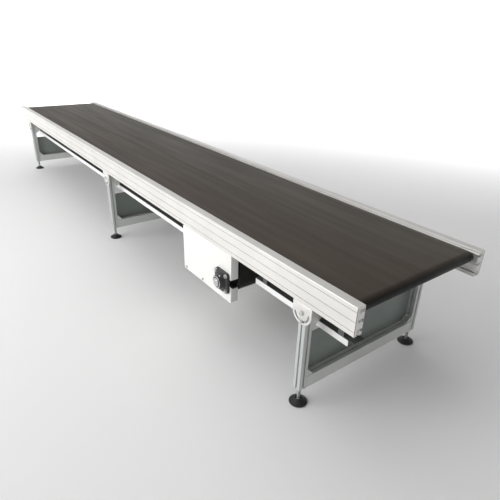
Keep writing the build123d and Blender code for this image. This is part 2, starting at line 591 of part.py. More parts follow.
# ---------------------------------------------------------------- front guard strip with its hangers
front = SIDES["front"]
guard_runs = ((-GUARD_END, PLATE_TAIL_X - GUARD_TAIL_GAP), (PLATE_HEAD_X + GUARD_DRIVE_GAP, GUARD_END))
hanger_x = [run_start + HANGER_INSET for run_start, run_end in guard_runs]
hanger_x += [run_end - HANGER_INSET for run_start, run_end in guard_runs]
hanger_x.append((guard_runs[0][0] + MIDDLE_LEG_X) / 2)
with BuildPart() as guard_strips:
    for run_start, run_end in guard_runs:
        with BuildSketch(Plane.YZ.offset(run_start)):
            with Locations((front * GUARD_Y, GUARD_TOP)):
                Rectangle(GUARD_WIDTH, GUARD_SHEET, align=(Align.MIN, Align.MAX))
                Rectangle(GUARD_SHEET, GUARD_HEIGHT, align=(Align.MIN, Align.MAX))
        extrude(amount=run_end - run_start)
    for end in (-1, 1):
        with Locations((end * (GUARD_END - GUARD_NOTCH / 2), front * GUARD_Y, GUARD_TOP - GUARD_SHEET)):
            Box(GUARD_NOTCH, 3 * GUARD_SHEET, GUARD_HEIGHT, align=(Align.CENTER, Align.CENTER, Align.MAX),
                mode=Mode.SUBTRACT)
    for x in hanger_x:
        with BuildSketch(Plane.YZ.offset(x - HANGER_WIDTH / 2)):
            with Locations((front * GUARD_Y, RAIL_BOTTOM)):
                Rectangle(GUARD_SHEET, GUARD_BELOW_RAIL, align=(Align.MIN, Align.MAX))
                Rectangle(GUARD_INSET - GUARD_SHEET, GUARD_SHEET, align=(Align.MAX, Align.MAX))
        extrude(amount=HANGER_WIDTH)
        with Locations((x, front * RAIL_Y, RAIL_BOTTOM)):
            Cylinder(SCREW_RADIUS, 4 * GUARD_SHEET, mode=Mode.SUBTRACT)
finish(guard_strips, "guard_strips")

# ---------------------------------------------------------------- leg pivot plates
pivot_bolt_x = PIVOT_PLATE_RADIUS - PIVOT_BOLT_INSET
with BuildSketch() as tilt_slot:
    SlotArc(CenterArc((0, 0), ARC_RADIUS, ARC_START, ARC_SPAN, mode=Mode.PRIVATE), 2 * ARC_HALF_WIDTH)
with BuildPart() as pivot_plates:
    for side in SIDES.values():
        for leg_x in LEG_X.values():
            with BuildSketch(Plane.XZ.offset(-side * HALF_WIDTH)):
                with BuildLine():
                    Polyline((leg_x - PIVOT_PLATE_RADIUS, PIVOT_Z),
                             (leg_x - PIVOT_PLATE_RADIUS, RAIL_BOTTOM),
                             (leg_x + PIVOT_PLATE_RADIUS, RAIL_BOTTOM),
                             (leg_x + PIVOT_PLATE_RADIUS, PIVOT_Z))
                    ThreePointArc((leg_x + PIVOT_PLATE_RADIUS, PIVOT_Z),
                                  (leg_x, PIVOT_Z - PIVOT_PLATE_RADIUS),
                                  (leg_x - PIVOT_PLATE_RADIUS, PIVOT_Z))
                make_face()
                with Locations((leg_x, PIVOT_Z)):
                    Circle(PIVOT_BOLT_RADIUS + RUNNING_GAP, mode=Mode.SUBTRACT)
                    add(tilt_slot.sketch, mode=Mode.SUBTRACT)
            extrude(amount=side * PIVOT_PLATE_THICKNESS)
            with BuildSketch(Plane.XY.offset(RAIL_BOTTOM)):
                with Locations((leg_x, side * RAIL_Y)):
                    Rectangle(2 * PIVOT_PLATE_RADIUS, CELL)
                    with GridLocations(2 * pivot_bolt_x, 1, 2, 1):
                        Circle(SCREW_RADIUS, mode=Mode.SUBTRACT)
            extrude(amount=-PIVOT_PLATE_THICKNESS)
finish(pivot_plates, "pivot_plates")

# ---------------------------------------------------------------- bolts of the bed, the drive and the plates
bearing_bolt = hex_bolt(PIVOT_BOLT_RADIUS, BEARING_FLANGE + PLATE_SHEET + NUT_THICKNESS, *BIG_HEX,
                        nut_height=NUT_THICKNESS)
slot_bolt = hex_bolt(SCREW_RADIUS, PIVOT_PLATE_THICKNESS + SLOT_GRIP, *SMALL_HEX)
hanger_bolt = hex_bolt(SCREW_RADIUS, GUARD_SHEET + SLOT_GRIP, *SMALL_HEX)
cover_screw = cap_screw(SCREW_RADIUS, PLATE_SHEET + COVER_SCREW_GRIP, *COVER_SCREW_HEAD)
with BuildPart() as frame_bolts:
    for side in SIDES.values():
        for bolt_x in (-bearing_bolt_at, bearing_bolt_at):
            for bolt_z in (-bearing_bolt_at, bearing_bolt_at):
                seat = (DRUM_X + bolt_x, side * (HALF_WIDTH + BEARING_FLANGE), DRUM_Z + bolt_z)
                with Locations(Location(seat, out_of(side))):
                    add(bearing_bolt)
        for leg_x in LEG_X.values():
            for bolt_x in (-pivot_bolt_x, pivot_bolt_x):
                seat = (leg_x + bolt_x, side * RAIL_Y, RAIL_BOTTOM - PIVOT_PLATE_THICKNESS)
                with Locations(Location(seat, (180, 0, 0))):
                    add(slot_bolt)
        for screw_x in cover_screw_x:
            with Locations(Location((screw_x, side * HALF_WIDTH, cover_screw_z), out_of(side))):
                add(cover_screw)
    for x in hanger_x:
        with Locations(Location((x, front * RAIL_Y, RAIL_BOTTOM - GUARD_SHEET), (180, 0, 0))):
            add(hanger_bolt)
finish(frame_bolts, "frame_bolts")


# ---------------------------------------------------------------- leg frames
def corner_bracket(side, corner_z, rise, legs):
    """A ribbed bracket at X = 0, in the corner between an upright and the bar below (rise 1) or above it."""
    reach = -side
    leg_y, leg_z = legs
    corner_y = side * UPRIGHT_INNER
    wall_y = corner_y + reach * GUSSET_WALL
    wall_z = corner_z + rise * GUSSET_WALL
    with BuildPart() as bracket:
        with BuildSketch(Plane.YZ.offset(-BRACKET_FACE / 2)):
            Polygon((corner_y, corner_z), (corner_y + reach * leg_y, corner_z),
                    (corner_y, corner_z + rise * leg_z),
                    align=None)
        extrude(amount=BRACKET_FACE)
        with BuildSketch(Plane.YZ.offset(GUSSET_WALL - BRACKET_FACE / 2)):
            Polygon((wall_y, wall_z), (wall_y + reach * 2 * leg_y, wall_z),
                    (wall_y, wall_z + rise * 2 * leg_z),
                    align=None)
        extrude(amount=BRACKET_FACE - 2 * GUSSET_WALL, mode=Mode.SUBTRACT)
        with Locations((0, corner_y + reach * BRACKET_SCREW_AT, corner_z)):
            Cylinder(SCREW_RADIUS, 4 * GUSSET_WALL, mode=Mode.SUBTRACT)
        with Locations(Location((0, corner_y, corner_z + rise * BRACKET_SCREW_AT), (90, 0, 0))):
            Cylinder(SCREW_RADIUS, 4 * GUSSET_WALL, mode=Mode.SUBTRACT)
    return bracket.part


corner_brackets = []
for side in SIDES.values():
    corner_brackets.append(corner_bracket(side, CROSSBAR_TOP, 1, (FOOT_BRACKET, FOOT_BRACKET)))
    corner_brackets.append(corner_bracket(side, TIE_BOTTOM, -1, TOP_GUSSET))

pivot_bolt = hex_bolt(PIVOT_BOLT_RADIUS, PIVOT_BOLT_DEPTH, *BIG_HEX)
clamp_bolt = hex_bolt(SCREW_RADIUS, PIVOT_PLATE_THICKNESS + SURFACE_GAP + SLOT_GRIP, *SMALL_HEX)
bracket_screw = cap_screw(SCREW_RADIUS, GUSSET_WALL + SLOT_GRIP, *BRACKET_SCREW_HEAD)
panel_screw = cap_screw(PANEL_SCREW_RADIUS, PANEL_THICKNESS + PANEL_SCREW_GRIP, *PANEL_SCREW_HEAD)
panel_half = UPRIGHT_INNER + PANEL_LAP
panel_throat = GUARD_Y - GUARD_WIDTH - PANEL_GUARD_GAP
panel_bottom = CROSSBAR_TOP - PANEL_LAP
panel_top = TIE_BOTTOM + PANEL_LAP
tie_z = TIE_BOTTOM + CELL / 2
crossbar_screw_z = CROSSBAR_TOP - PANEL_LAP / 2
upright_screw_z = (CROSSBAR_TOP + CELL, PANEL_SHOULDER - CELL / 2)
upright_screws = [(y, z) for y in (-UPRIGHT_Y, UPRIGHT_Y) for z in upright_screw_z]
crossbar_screws = [(y, crossbar_screw_z) for y in (-UPRIGHT_Y / 2, UPRIGHT_Y / 2)]
tie_screws = [(y, tie_z) for y in (-panel_throat / 2, panel_throat / 2)]
panel_screws = upright_screws + crossbar_screws + tie_screws

with BuildPart() as foot_nut:
    with BuildSketch():
        RegularPolygon(NUT_RADIUS, 6)
        Circle(STEM_RADIUS + RUNNING_GAP, mode=Mode.SUBTRACT)
    extrude(amount=-NUT_HEIGHT)

for leg_name, leg_x in LEG_X.items():
    for side_name, side in SIDES.items():
        with BuildPart() as upright:
            with BuildSketch(Plane.XY.offset(UPRIGHT_BOTTOM)):
                with Locations((leg_x, side * UPRIGHT_Y)):
                    RectangleRounded(CELL, CELL, PROFILE_CORNER)
                    Circle(CORE_RADIUS, mode=Mode.SUBTRACT)
                for turn, step_x, step_y in ((0, 0, 1), (90, -1, 0), (180, 0, -1), (270, 1, 0)):
                    cut_slot(leg_x + step_x * CELL / 2, side * UPRIGHT_Y + step_y * CELL / 2, turn)
            extrude(amount=UPRIGHT_TOP - UPRIGHT_BOTTOM)
            with Locations((leg_x, side * UPRIGHT_Y, UPRIGHT_BOTTOM)):
                Cylinder(STEM_RADIUS + RUNNING_GAP, STEM_IN_LEG + STEM_RETRACT + STEM_END_ROOM,
                         align=(Align.CENTER, Align.CENTER, Align.MIN), mode=Mode.SUBTRACT)
            with Locations(Location((leg_x, side * UPRIGHT_OUTER, PIVOT_Z), out_of(side))):
                Cylinder(PIVOT_BOLT_RADIUS + RUNNING_GAP, PIVOT_BOLT_DEPTH,
                         align=(Align.CENTER, Align.CENTER, Align.MAX), mode=Mode.SUBTRACT)
        finish(upright, f"{leg_name}_leg_{side_name}_upright")

    with BuildPart() as crossbar:
        with BuildSketch(Plane.XZ.offset(-UPRIGHT_INNER)):
            with Locations((leg_x, UPRIGHT_BOTTOM + CROSSBAR_HEIGHT / 2)):
                RectangleRounded(CELL, CROSSBAR_HEIGHT, PROFILE_CORNER)
                Circle(CORE_RADIUS, mode=Mode.SUBTRACT)
            cut_slot(leg_x, CROSSBAR_TOP, 0)
            cut_slot(leg_x, UPRIGHT_BOTTOM, 180)
        extrude(amount=2 * UPRIGHT_INNER)
        with BuildSketch(Plane.YZ.offset(leg_x - CELL / 2)):
            with Locations(*crossbar_screws):
                Circle(PANEL_SCREW_RADIUS)
        extrude(amount=PANEL_SCREW_GRIP, mode=Mode.SUBTRACT)
    finish(crossbar, f"{leg_name}_leg_crossbar")

    with BuildPart() as top_tie:
        with BuildSketch(Plane.XZ.offset(-UPRIGHT_INNER)):
            with Locations((leg_x, tie_z)):
                RectangleRounded(CELL, CELL, PROFILE_CORNER)
                Circle(CORE_RADIUS, mode=Mode.SUBTRACT)
            for turn, step_x, step_z in ((0, 0, 1), (90, -1, 0), (180, 0, -1), (270, 1, 0)):
                cut_slot(leg_x + step_x * CELL / 2, tie_z + step_z * CELL / 2, turn)
        extrude(amount=2 * UPRIGHT_INNER)
    finish(top_tie, f"{leg_name}_leg_top_tie")

    with BuildPart() as panel:
        with BuildSketch(Plane.YZ.offset(leg_x - CELL / 2)):
            with Locations((0, panel_bottom)):
                Rectangle(2 * panel_half, PANEL_SHOULDER - panel_bottom, align=(Align.CENTER, Align.MIN))
                Rectangle(2 * panel_throat, panel_top - panel_bottom, align=(Align.CENTER, Align.MIN))
            with Locations(*panel_screws):
                Circle(PANEL_SCREW_RADIUS, mode=Mode.SUBTRACT)
        extrude(amount=-PANEL_THICKNESS)
    finish(panel, f"{leg_name}_leg_panel")

    with BuildPart() as brackets:
        with Locations((leg_x, 0, 0)):
            add(corner_brackets)
    finish(brackets, f"{leg_name}_leg_brackets")

    with BuildPart() as leg_bolts:
        for side in SIDES.values():
            with Locations(Location((leg_x, side * HALF_WIDTH, PIVOT_Z), out_of(side))):
                add(pivot_bolt)
            with Locations(Location((leg_x, side * HALF_WIDTH, PIVOT_Z - ARC_RADIUS), out_of(side))):
                add(clamp_bolt)
            with Locations((leg_x, side * UPRIGHT_Y, UPRIGHT_BOTTOM)):
                add(foot_nut.part)
            wall_y = side * (UPRIGHT_INNER - GUSSET_WALL)
            screw_y = side * (UPRIGHT_INNER - BRACKET_SCREW_AT)
            for corner_z, rise in ((CROSSBAR_TOP, 1), (TIE_BOTTOM, -1)):
                screw_z = corner_z + rise * GUSSET_WALL
                with Locations(Location((leg_x, screw_y, screw_z), (90 - 90 * rise, 0, 0))):
                    add(bracket_screw)
                with Locations(Location((leg_x, wall_y, corner_z + rise * BRACKET_SCREW_AT), out_of(-side))):
                    add(bracket_screw)
        for screw_y, screw_z in panel_screws:
            with Locations(Location((leg_x - PANEL_BACK, screw_y, screw_z), (0, -90, 0))):
                add(panel_screw)
    finish(leg_bolts, f"{leg_name}_leg_bolts")

    for side_name, side in SIDES.items():
        stem_x, stem_y = leg_x, side * UPRIGHT_Y
        with BuildPart() as foot_stem:
            with Locations((stem_x, stem_y, BALL_HEIGHT)):
                Sphere(BALL_RADIUS)
                Cylinder(STEM_NECK_RADIUS, NECK_TOP - BALL_HEIGHT,
                         align=(Align.CENTER, Align.CENTER, Align.MIN))
            with Locations((stem_x, stem_y, NECK_TOP)):
                Cylinder(STEM_RADIUS, UPRIGHT_BOTTOM + STEM_IN_LEG - NECK_TOP,
                         align=(Align.CENTER, Align.CENTER, Align.MIN))
        finish(foot_stem, f"{leg_name}_leg_{side_name}_foot_stem")

        with BuildPart() as foot_pad:
            with BuildSketch(Plane.XZ.offset(-stem_y)):
                with BuildLine():
                    Polyline((stem_x, PAD_HEIGHT), (stem_x, 0), (stem_x + PAD_RADIUS, 0),
                             (stem_x + PAD_RADIUS, PAD_RIM))
                    ThreePointArc((stem_x + PAD_RADIUS, PAD_RIM),
                                  (stem_x + PAD_CROWN[0], PAD_CROWN[1]),
                                  (stem_x + PAD_HUB_RADIUS, PAD_HEIGHT))
                    Line((stem_x + PAD_HUB_RADIUS, PAD_HEIGHT), (stem_x, PAD_HEIGHT))
                make_face()
            revolve(axis=Axis((stem_x, stem_y, 0), (0, 0, 1)))
            socket = BALL_RADIUS + SURFACE_GAP
            mouth_z = BALL_HEIGHT + (socket ** 2 - SOCKET_MOUTH ** 2) ** 0.5
            with Locations((stem_x, stem_y, BALL_HEIGHT)):
                Sphere(socket, mode=Mode.SUBTRACT)
            with Locations((stem_x, stem_y, mouth_z - SOCKET_CUT_MARGIN)):
                Cone(SOCKET_MOUTH - SOCKET_CUT_MARGIN, SOCKET_MOUTH + SOCKET_FLARE,
                     PAD_HEIGHT - mouth_z + 2 * SOCKET_CUT_MARGIN,
                     align=(Align.CENTER, Align.CENTER, Align.MIN), mode=Mode.SUBTRACT)
        finish(foot_pad, f"{leg_name}_leg_{side_name}_foot_pad")
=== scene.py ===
"""Looks of the slider-bed belt conveyor section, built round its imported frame.

Metres, in the frame's own axes: +X to the head end, -Y to the front side, +Z up.
"""

import logging
import math
from collections.abc import Callable, Iterator
from contextlib import contextmanager
from dataclasses import dataclass, field
from enum import Enum

import bmesh
import bpy
from mathutils import Matrix, Vector


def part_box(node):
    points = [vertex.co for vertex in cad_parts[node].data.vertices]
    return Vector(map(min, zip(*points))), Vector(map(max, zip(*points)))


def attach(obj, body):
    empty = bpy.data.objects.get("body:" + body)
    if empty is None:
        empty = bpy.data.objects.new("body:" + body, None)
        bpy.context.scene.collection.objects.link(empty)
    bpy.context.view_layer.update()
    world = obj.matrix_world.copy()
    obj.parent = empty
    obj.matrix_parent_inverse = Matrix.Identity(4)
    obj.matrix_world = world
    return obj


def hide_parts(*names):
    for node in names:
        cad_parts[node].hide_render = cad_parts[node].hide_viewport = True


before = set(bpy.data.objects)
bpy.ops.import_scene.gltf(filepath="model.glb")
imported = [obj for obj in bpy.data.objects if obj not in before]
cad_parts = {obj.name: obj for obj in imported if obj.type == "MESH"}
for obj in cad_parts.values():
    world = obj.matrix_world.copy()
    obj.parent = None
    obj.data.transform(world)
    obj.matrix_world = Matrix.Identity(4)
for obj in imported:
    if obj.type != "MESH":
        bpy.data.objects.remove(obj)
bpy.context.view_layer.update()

log = logging.getLogger("conveyor")

Point = tuple[float, float, float]
Colour = tuple[float, float, float]

LEGS = ("head", "middle", "tail")
SIDES = {"front": -1, "back": 1}
SIDEWAYS = Vector((0, 1, 0))
HAIR = 0.0002               # room between two faces that would otherwise lie in one plane
MERGE = 0.00001             # corners nearer than this are one
LEVEL_DIGITS = 5            # decimals to which the levels of a fastener's corners agree
LEVEL_ROOM = 0.00002
HEXAGON_CORNERS = 8         # a hexagon's end has at most this many corners
SMOOTH_ANGLE = math.radians(35)
FLAT_ANGLE = math.radians(0.5)


class Along(Enum):
    """The way a profile was drawn or a sheet was brushed."""

    X = (0.02, 1.0, 1.0)
    Y = (1.0, 0.02, 1.0)
    Z = (1.0, 1.0, 0.02)


class Head(Enum):
    """The kinds of fastener head."""

    HEXAGON = "hexagon"
    SOCKET = "socket"
    NUT = "nut"


# ---------------------------------------------------------------- finishes
class Graph:
    """The node tree of one material, with short calls for the nodes that the finishes share."""

    def __init__(self, name: str) -> None:
        """Start an empty material with a shader.

        Args:
            name: the material's name.
        """
        self.material = bpy.data.materials.new(name)
        self.material.use_nodes = True
        self.tree = self.material.node_tree
        self.tree.nodes.clear()
        self.shader = self.tree.nodes.new("ShaderNodeBsdfPrincipled")
        output = self.tree.nodes.new("ShaderNodeOutputMaterial")
        self.tree.links.new(self.shader.outputs["BSDF"], output.inputs["Surface"])
        self.place = self.tree.nodes.new("ShaderNodeTexCoord").outputs["Object"]

    def numbers(self, **values: float) -> None:
        """Set the shader's own sockets, with underscores for the spaces in their names."""
        for name, value in values.items():
            self.shader.inputs[name.replace("_", " ")].default_value = value

    def link(self, output: bpy.types.NodeSocket, socket: str) -> None:
        """Link an output to one of the shader's sockets."""
        self.tree.links.new(output, self.shader.inputs[socket])

    def stretched(self, scale: Point) -> bpy.types.NodeSocket:
        """Scale the object coordinates.

        Args:
            scale: how much faster a pattern runs along each axis.

        Returns:
            The scaled coordinates.
        """
        mapping = self.tree.nodes.new("ShaderNodeMapping")
        mapping.inputs["Scale"].default_value = scale
        self.tree.links.new(self.place, mapping.inputs["Vector"])
        return mapping.outputs["Vector"]

    def axis(self, name: str) -> bpy.types.NodeSocket:
        """Give one of the object coordinates."""
        node = self.tree.nodes.new("ShaderNodeSeparateXYZ")
        self.tree.links.new(self.place, node.inputs["Vector"])
        return node.outputs[name]

    def absolute(self, name: str) -> bpy.types.NodeSocket:
        """Give how far a point lies from the middle along an axis."""
        return self.combine("ABSOLUTE", self.axis(name), 0.0)

    def over(self, mask: bpy.types.NodeSocket, under: bpy.types.NodeSocket, colour: Colour
             ) -> bpy.types.NodeSocket:
        """Lay a colour over another where a mask is 1.

        Args:
            mask: the mask.
            under: the colour that is covered.
            colour: the colour that covers it.

        Returns:
            The joined colour.
        """
        node = self.tree.nodes.new("ShaderNodeMix")
        node.data_type = "RGBA"
        self.tree.links.new(mask, node.inputs["Factor"])
        self.tree.links.new(under, node.inputs["A"])
        node.inputs["B"].default_value = (*colour, 1.0)
        return node.outputs["Result"]

    def noise(self, scale: float, detail: float = 3.0, stretch: Point = (1.0, 1.0, 1.0)
              ) -> bpy.types.NodeSocket:
        """Add a noise pattern.

        Args:
            scale: its scale, per metre.
            detail: how many finer layers it has.
            stretch: how much faster it runs along each axis.

        Returns:
            A value from 0 to 1.
        """
        node = self.tree.nodes.new("ShaderNodeTexNoise")
        node.inputs["Scale"].default_value = scale
        node.inputs["Detail"].default_value = detail
        self.tree.links.new(self.stretched(stretch), node.inputs["Vector"])
        return node.outputs["Fac"]

    def cells(self, scale: float, output: str = "Distance") -> bpy.types.NodeSocket:
        """Add a cell pattern.

        Args:
            scale: its scale, per metre.
            output: Distance for round dimples, Color for flat patches.

        Returns:
            The pattern's value or colour.
        """
        node = self.tree.nodes.new("ShaderNodeTexVoronoi")
        node.inputs["Scale"].default_value = scale
        self.tree.links.new(self.place, node.inputs["Vector"])
        return node.outputs[output]

    def combine(self, operation: str, first: bpy.types.NodeSocket, second: bpy.types.NodeSocket | float
                ) -> bpy.types.NodeSocket:
        """Join two values.

        Args:
            operation: the math node's operation.
            first: the first value.
            second: the second value, or a number.

        Returns:
            The result.
        """
        node = self.tree.nodes.new("ShaderNodeMath")
        node.operation = operation
        self.tree.links.new(first, node.inputs[0])
        if isinstance(second, (int, float)):
            node.inputs[1].default_value = second
        else:
            self.tree.links.new(second, node.inputs[1])
        return node.outputs[0]

    def between(self, value: bpy.types.NodeSocket, low: float, high: float,
                start: float = 0.3, end: float = 0.7) -> bpy.types.NodeSocket:
        """Map a pattern's middle range to two numbers.

        Args:
            value: the pattern.
            low: the number where it is at start.
            high: the number where it is at end.
            start: the pattern's value for low.
            end: the pattern's value for high.

        Returns:
            The mapped value.
        """
        node = self.tree.nodes.new("ShaderNodeMapRange")
        self.tree.links.new(value, node.inputs["Value"])
        for name, number in (("From Min", start), ("From Max", end), ("To Min", low), ("To Max", high)):
            node.inputs[name].default_value = number
        return node.outputs["Result"]

    def tint(self, value: bpy.types.NodeSocket, low: Colour, high: Colour,
             start: float = 0.3, end: float = 0.7) -> bpy.types.NodeSocket:
        """Colour a pattern's middle range from one colour to another.

        Args:
            value: the pattern.
            low: the colour where it is at start.
            high: the colour where it is at end.
            start: the pattern's value for low.
            end: the pattern's value for high.

        Returns:
            The colour.
        """
        ramp = self.tree.nodes.new("ShaderNodeValToRGB")
        for element, place, colour in zip(ramp.color_ramp.elements, (start, end), (low, high)):
            element.position = place
            element.color = (*colour, 1.0)
        self.tree.links.new(value, ramp.inputs["Fac"])
        return ramp.outputs["Color"]

    def relief(self, *layers: tuple[bpy.types.NodeSocket, float]) -> None:
        """Stack bumps on the shader's normal.

        Args:
            layers: pairs of a height pattern and its depth in metres.
        """
        normal = None
        for height, depth in layers:
            bump = self.tree.nodes.new("ShaderNodeBump")
            bump.inputs["Distance"].default_value = depth
            self.tree.links.new(height, bump.inputs["Height"])
            if normal is not None:
                self.tree.links.new(normal, bump.inputs["Normal"])
            normal = bump.outputs["Normal"]
        self.link(normal, "Normal")


def shade(colour: Colour, factor: float) -> Colour:
    """Make a colour darker or lighter by a factor."""
    return tuple(min(1.0, channel * factor) for channel in colour)


@dataclass(frozen=True)
class Anodised:
    """Matt anodised aluminium with fine die lines along the profile."""

    name: str
    colour: Colour
    along: Along
    metal: float = 0.55
    roughness: float = 0.34
    groove_shade: bool = False
    groove_start: float = 0.0003    # from the rail's outer face
    groove_end: float = 0.003
    groove_margin: float = 0.004    # from the rail's top and bottom

    def make(self) -> bpy.types.Material:
        """Build the material."""
        graph = Graph(self.name)
        lines = graph.noise(2600.0, 2.0, self.along.value)
        cloud = graph.noise(5.0, 4.0)
        colour = graph.tint(cloud, shade(self.colour, 0.94), shade(self.colour, 1.04))
        if self.groove_shade:
            # Painted shade: the grooves of the rail's outer face are coloured near-black in place of the
            # shade inside them.
            colour = graph.over(self.groove(graph), colour, shade(self.colour, 0.06))
        graph.link(colour, "Base Color")
        graph.link(graph.between(lines, self.roughness - 0.06, self.roughness + 0.1), "Roughness")
        graph.relief((lines, 0.00002))
        graph.numbers(Metallic=self.metal)
        return graph.material

    def groove(self, graph: Graph) -> bpy.types.NodeSocket:
        """Find the grooves in a rail's outer face, which are coloured dark as painted shade.

        Args:
            graph: the material's graph.

        Returns:
            1 in the grooves and 0 elsewhere.
        """
        low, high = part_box("back_rail")
        depth = graph.combine("SUBTRACT", graph.absolute("Y"), high.y)
        level = graph.combine("SUBTRACT", graph.axis("Z"), (low.z + high.z) / 2)
        inside = graph.combine("LESS_THAN", depth, -self.groove_start)
        shallow = graph.combine("GREATER_THAN", depth, -self.groove_end)
        below = graph.combine("LESS_THAN", graph.combine("ABSOLUTE", level, 0.0),
                              (high.z - low.z) / 2 - self.groove_margin)
        return graph.combine("MULTIPLY", graph.combine("MULTIPLY", inside, shallow), below)


@dataclass(frozen=True)
class PowderCoat:
    """Powder coat with the orange peel of a sprayed film and a little dust in its colour."""

    name: str
    colour: Colour
    roughness: float = 0.38
    peel: float = 0.00006

    def make(self) -> bpy.types.Material:
        """Build the material."""
        graph = Graph(self.name)
        peel = graph.noise(420.0, 2.0)
        dust = graph.noise(9.0, 6.0)
        graph.link(graph.tint(dust, shade(self.colour, 0.93), self.colour), "Base Color")
        graph.link(graph.between(dust, self.roughness + 0.12, self.roughness), "Roughness")
        graph.relief((peel, self.peel))
        return graph.material


@dataclass(frozen=True)
class Galvanised:
    """Hot-dip galvanised sheet with its spangle."""

    name: str
    colour: Colour

    def make(self) -> bpy.types.Material:
        """Build the material."""
        graph = Graph(self.name)
        spangle = graph.cells(90.0, "Color")
        colour = graph.tint(spangle, shade(self.colour, 0.8), shade(self.colour, 1.15), 0.1, 0.9)
        graph.link(colour, "Base Color")
        graph.link(graph.between(spangle, 0.28, 0.5, 0.0, 1.0), "Roughness")
        graph.relief((graph.noise(300.0, 3.0), 0.00003))
        graph.numbers(Metallic=0.85)
        return graph.material


@dataclass(frozen=True)
class PlatedSteel:
    """Zinc plated or turned steel, with faint tool lines round or along the piece."""

    name: str
    colour: Colour
    roughness: float = 0.26
    along: Along = Along.Z

    def make(self) -> bpy.types.Material:
        """Build the material."""
        graph = Graph(self.name)
        tool = graph.noise(1800.0, 2.0, tuple(1.02 - part for part in self.along.value))
        haze = graph.noise(60.0, 4.0)
        graph.link(graph.tint(haze, shade(self.colour, 0.88), shade(self.colour, 1.06)), "Base Color")
        graph.link(graph.between(haze, self.roughness, self.roughness + 0.14), "Roughness")
        graph.relief((tool, 0.00002))
        graph.numbers(Metallic=1.0)
        return graph.material


@dataclass(frozen=True)
class BeltCover:
    """The belt: a fine matt emboss, long faint rub marks, and painted light: the top run is coloured lighter
    than the rest of the band, which is coloured near-black as painted shade.
    """

    name: str
    colour: Colour
    lit_top_colour: Colour
    roughness: float = 0.5
    fade: float = 0.014

    def make(self) -> bpy.types.Material:
        """Build the material."""
        graph = Graph(self.name)
        emboss = graph.cells(900.0)
        rub = graph.noise(24.0, 5.0, (0.05, 1.0, 1.0))
        cloud = graph.noise(1.6, 3.0)
        mottle = graph.combine("MULTIPLY", rub, cloud)
        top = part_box("belt")[1].z
        # Painted light and shade: this mask is 0 on the band's top surface, which keeps the lighter rubbed
        # colour, and 1 from fade below it, where the near-black colour stands in for shade.
        dust = graph.between(graph.axis("Z"), 1.0, 0.0, top - self.fade, top)
        worn = graph.tint(mottle, shade(self.lit_top_colour, 0.88), shade(self.lit_top_colour, 1.14), 0.12, 0.42)
        graph.link(graph.over(dust, worn, self.colour), "Base Color")
        graph.link(graph.between(rub, self.roughness + 0.06, self.roughness - 0.05), "Roughness")
        graph.relief((emboss, 0.00008), (graph.noise(3.0, 2.0, (0.4, 1.0, 1.0)), 0.0006))
        graph.numbers(Specular_IOR_Level=0.22)
        return graph.material


@dataclass(frozen=True)
class Rubber:
    """Moulded rubber or nylon with a fine spark-eroded grain."""

    name: str
    colour: Colour
    roughness: float = 0.6
    grain: float = 0.00008

    def make(self) -> bpy.types.Material:
        """Build the material."""
        graph = Graph(self.name)
        dust = graph.noise(40.0, 5.0)
        graph.link(graph.tint(dust, self.colour, shade(self.colour, 1.7), 0.4, 0.8), "Base Color")
        graph.link(graph.between(dust, self.roughness, self.roughness + 0.15), "Roughness")
        graph.relief((graph.noise(1500.0, 2.0), self.grain))
        return graph.material


@dataclass(frozen=True)
class CastMetal:
    """A sand or die casting under a coat of paint: lumpy on a small scale, worn a little."""

    name: str
    colour: Colour
    roughness: float = 0.42
    metal: float = 0.0

    def make(self) -> bpy.types.Material:
        """Build the material."""
        graph = Graph(self.name)
        sand = graph.noise(700.0, 4.0)
        wear = graph.noise(55.0, 5.0)
        graph.link(graph.tint(wear, self.colour, shade(self.colour, 1.9), 0.45, 0.85), "Base Color")
        graph.link(graph.between(sand, self.roughness - 0.06, self.roughness + 0.12), "Roughness")
        graph.relief((sand, 0.00015), (graph.noise(120.0, 2.0), 0.0003))
        graph.numbers(Metallic=self.metal)
        return graph.material


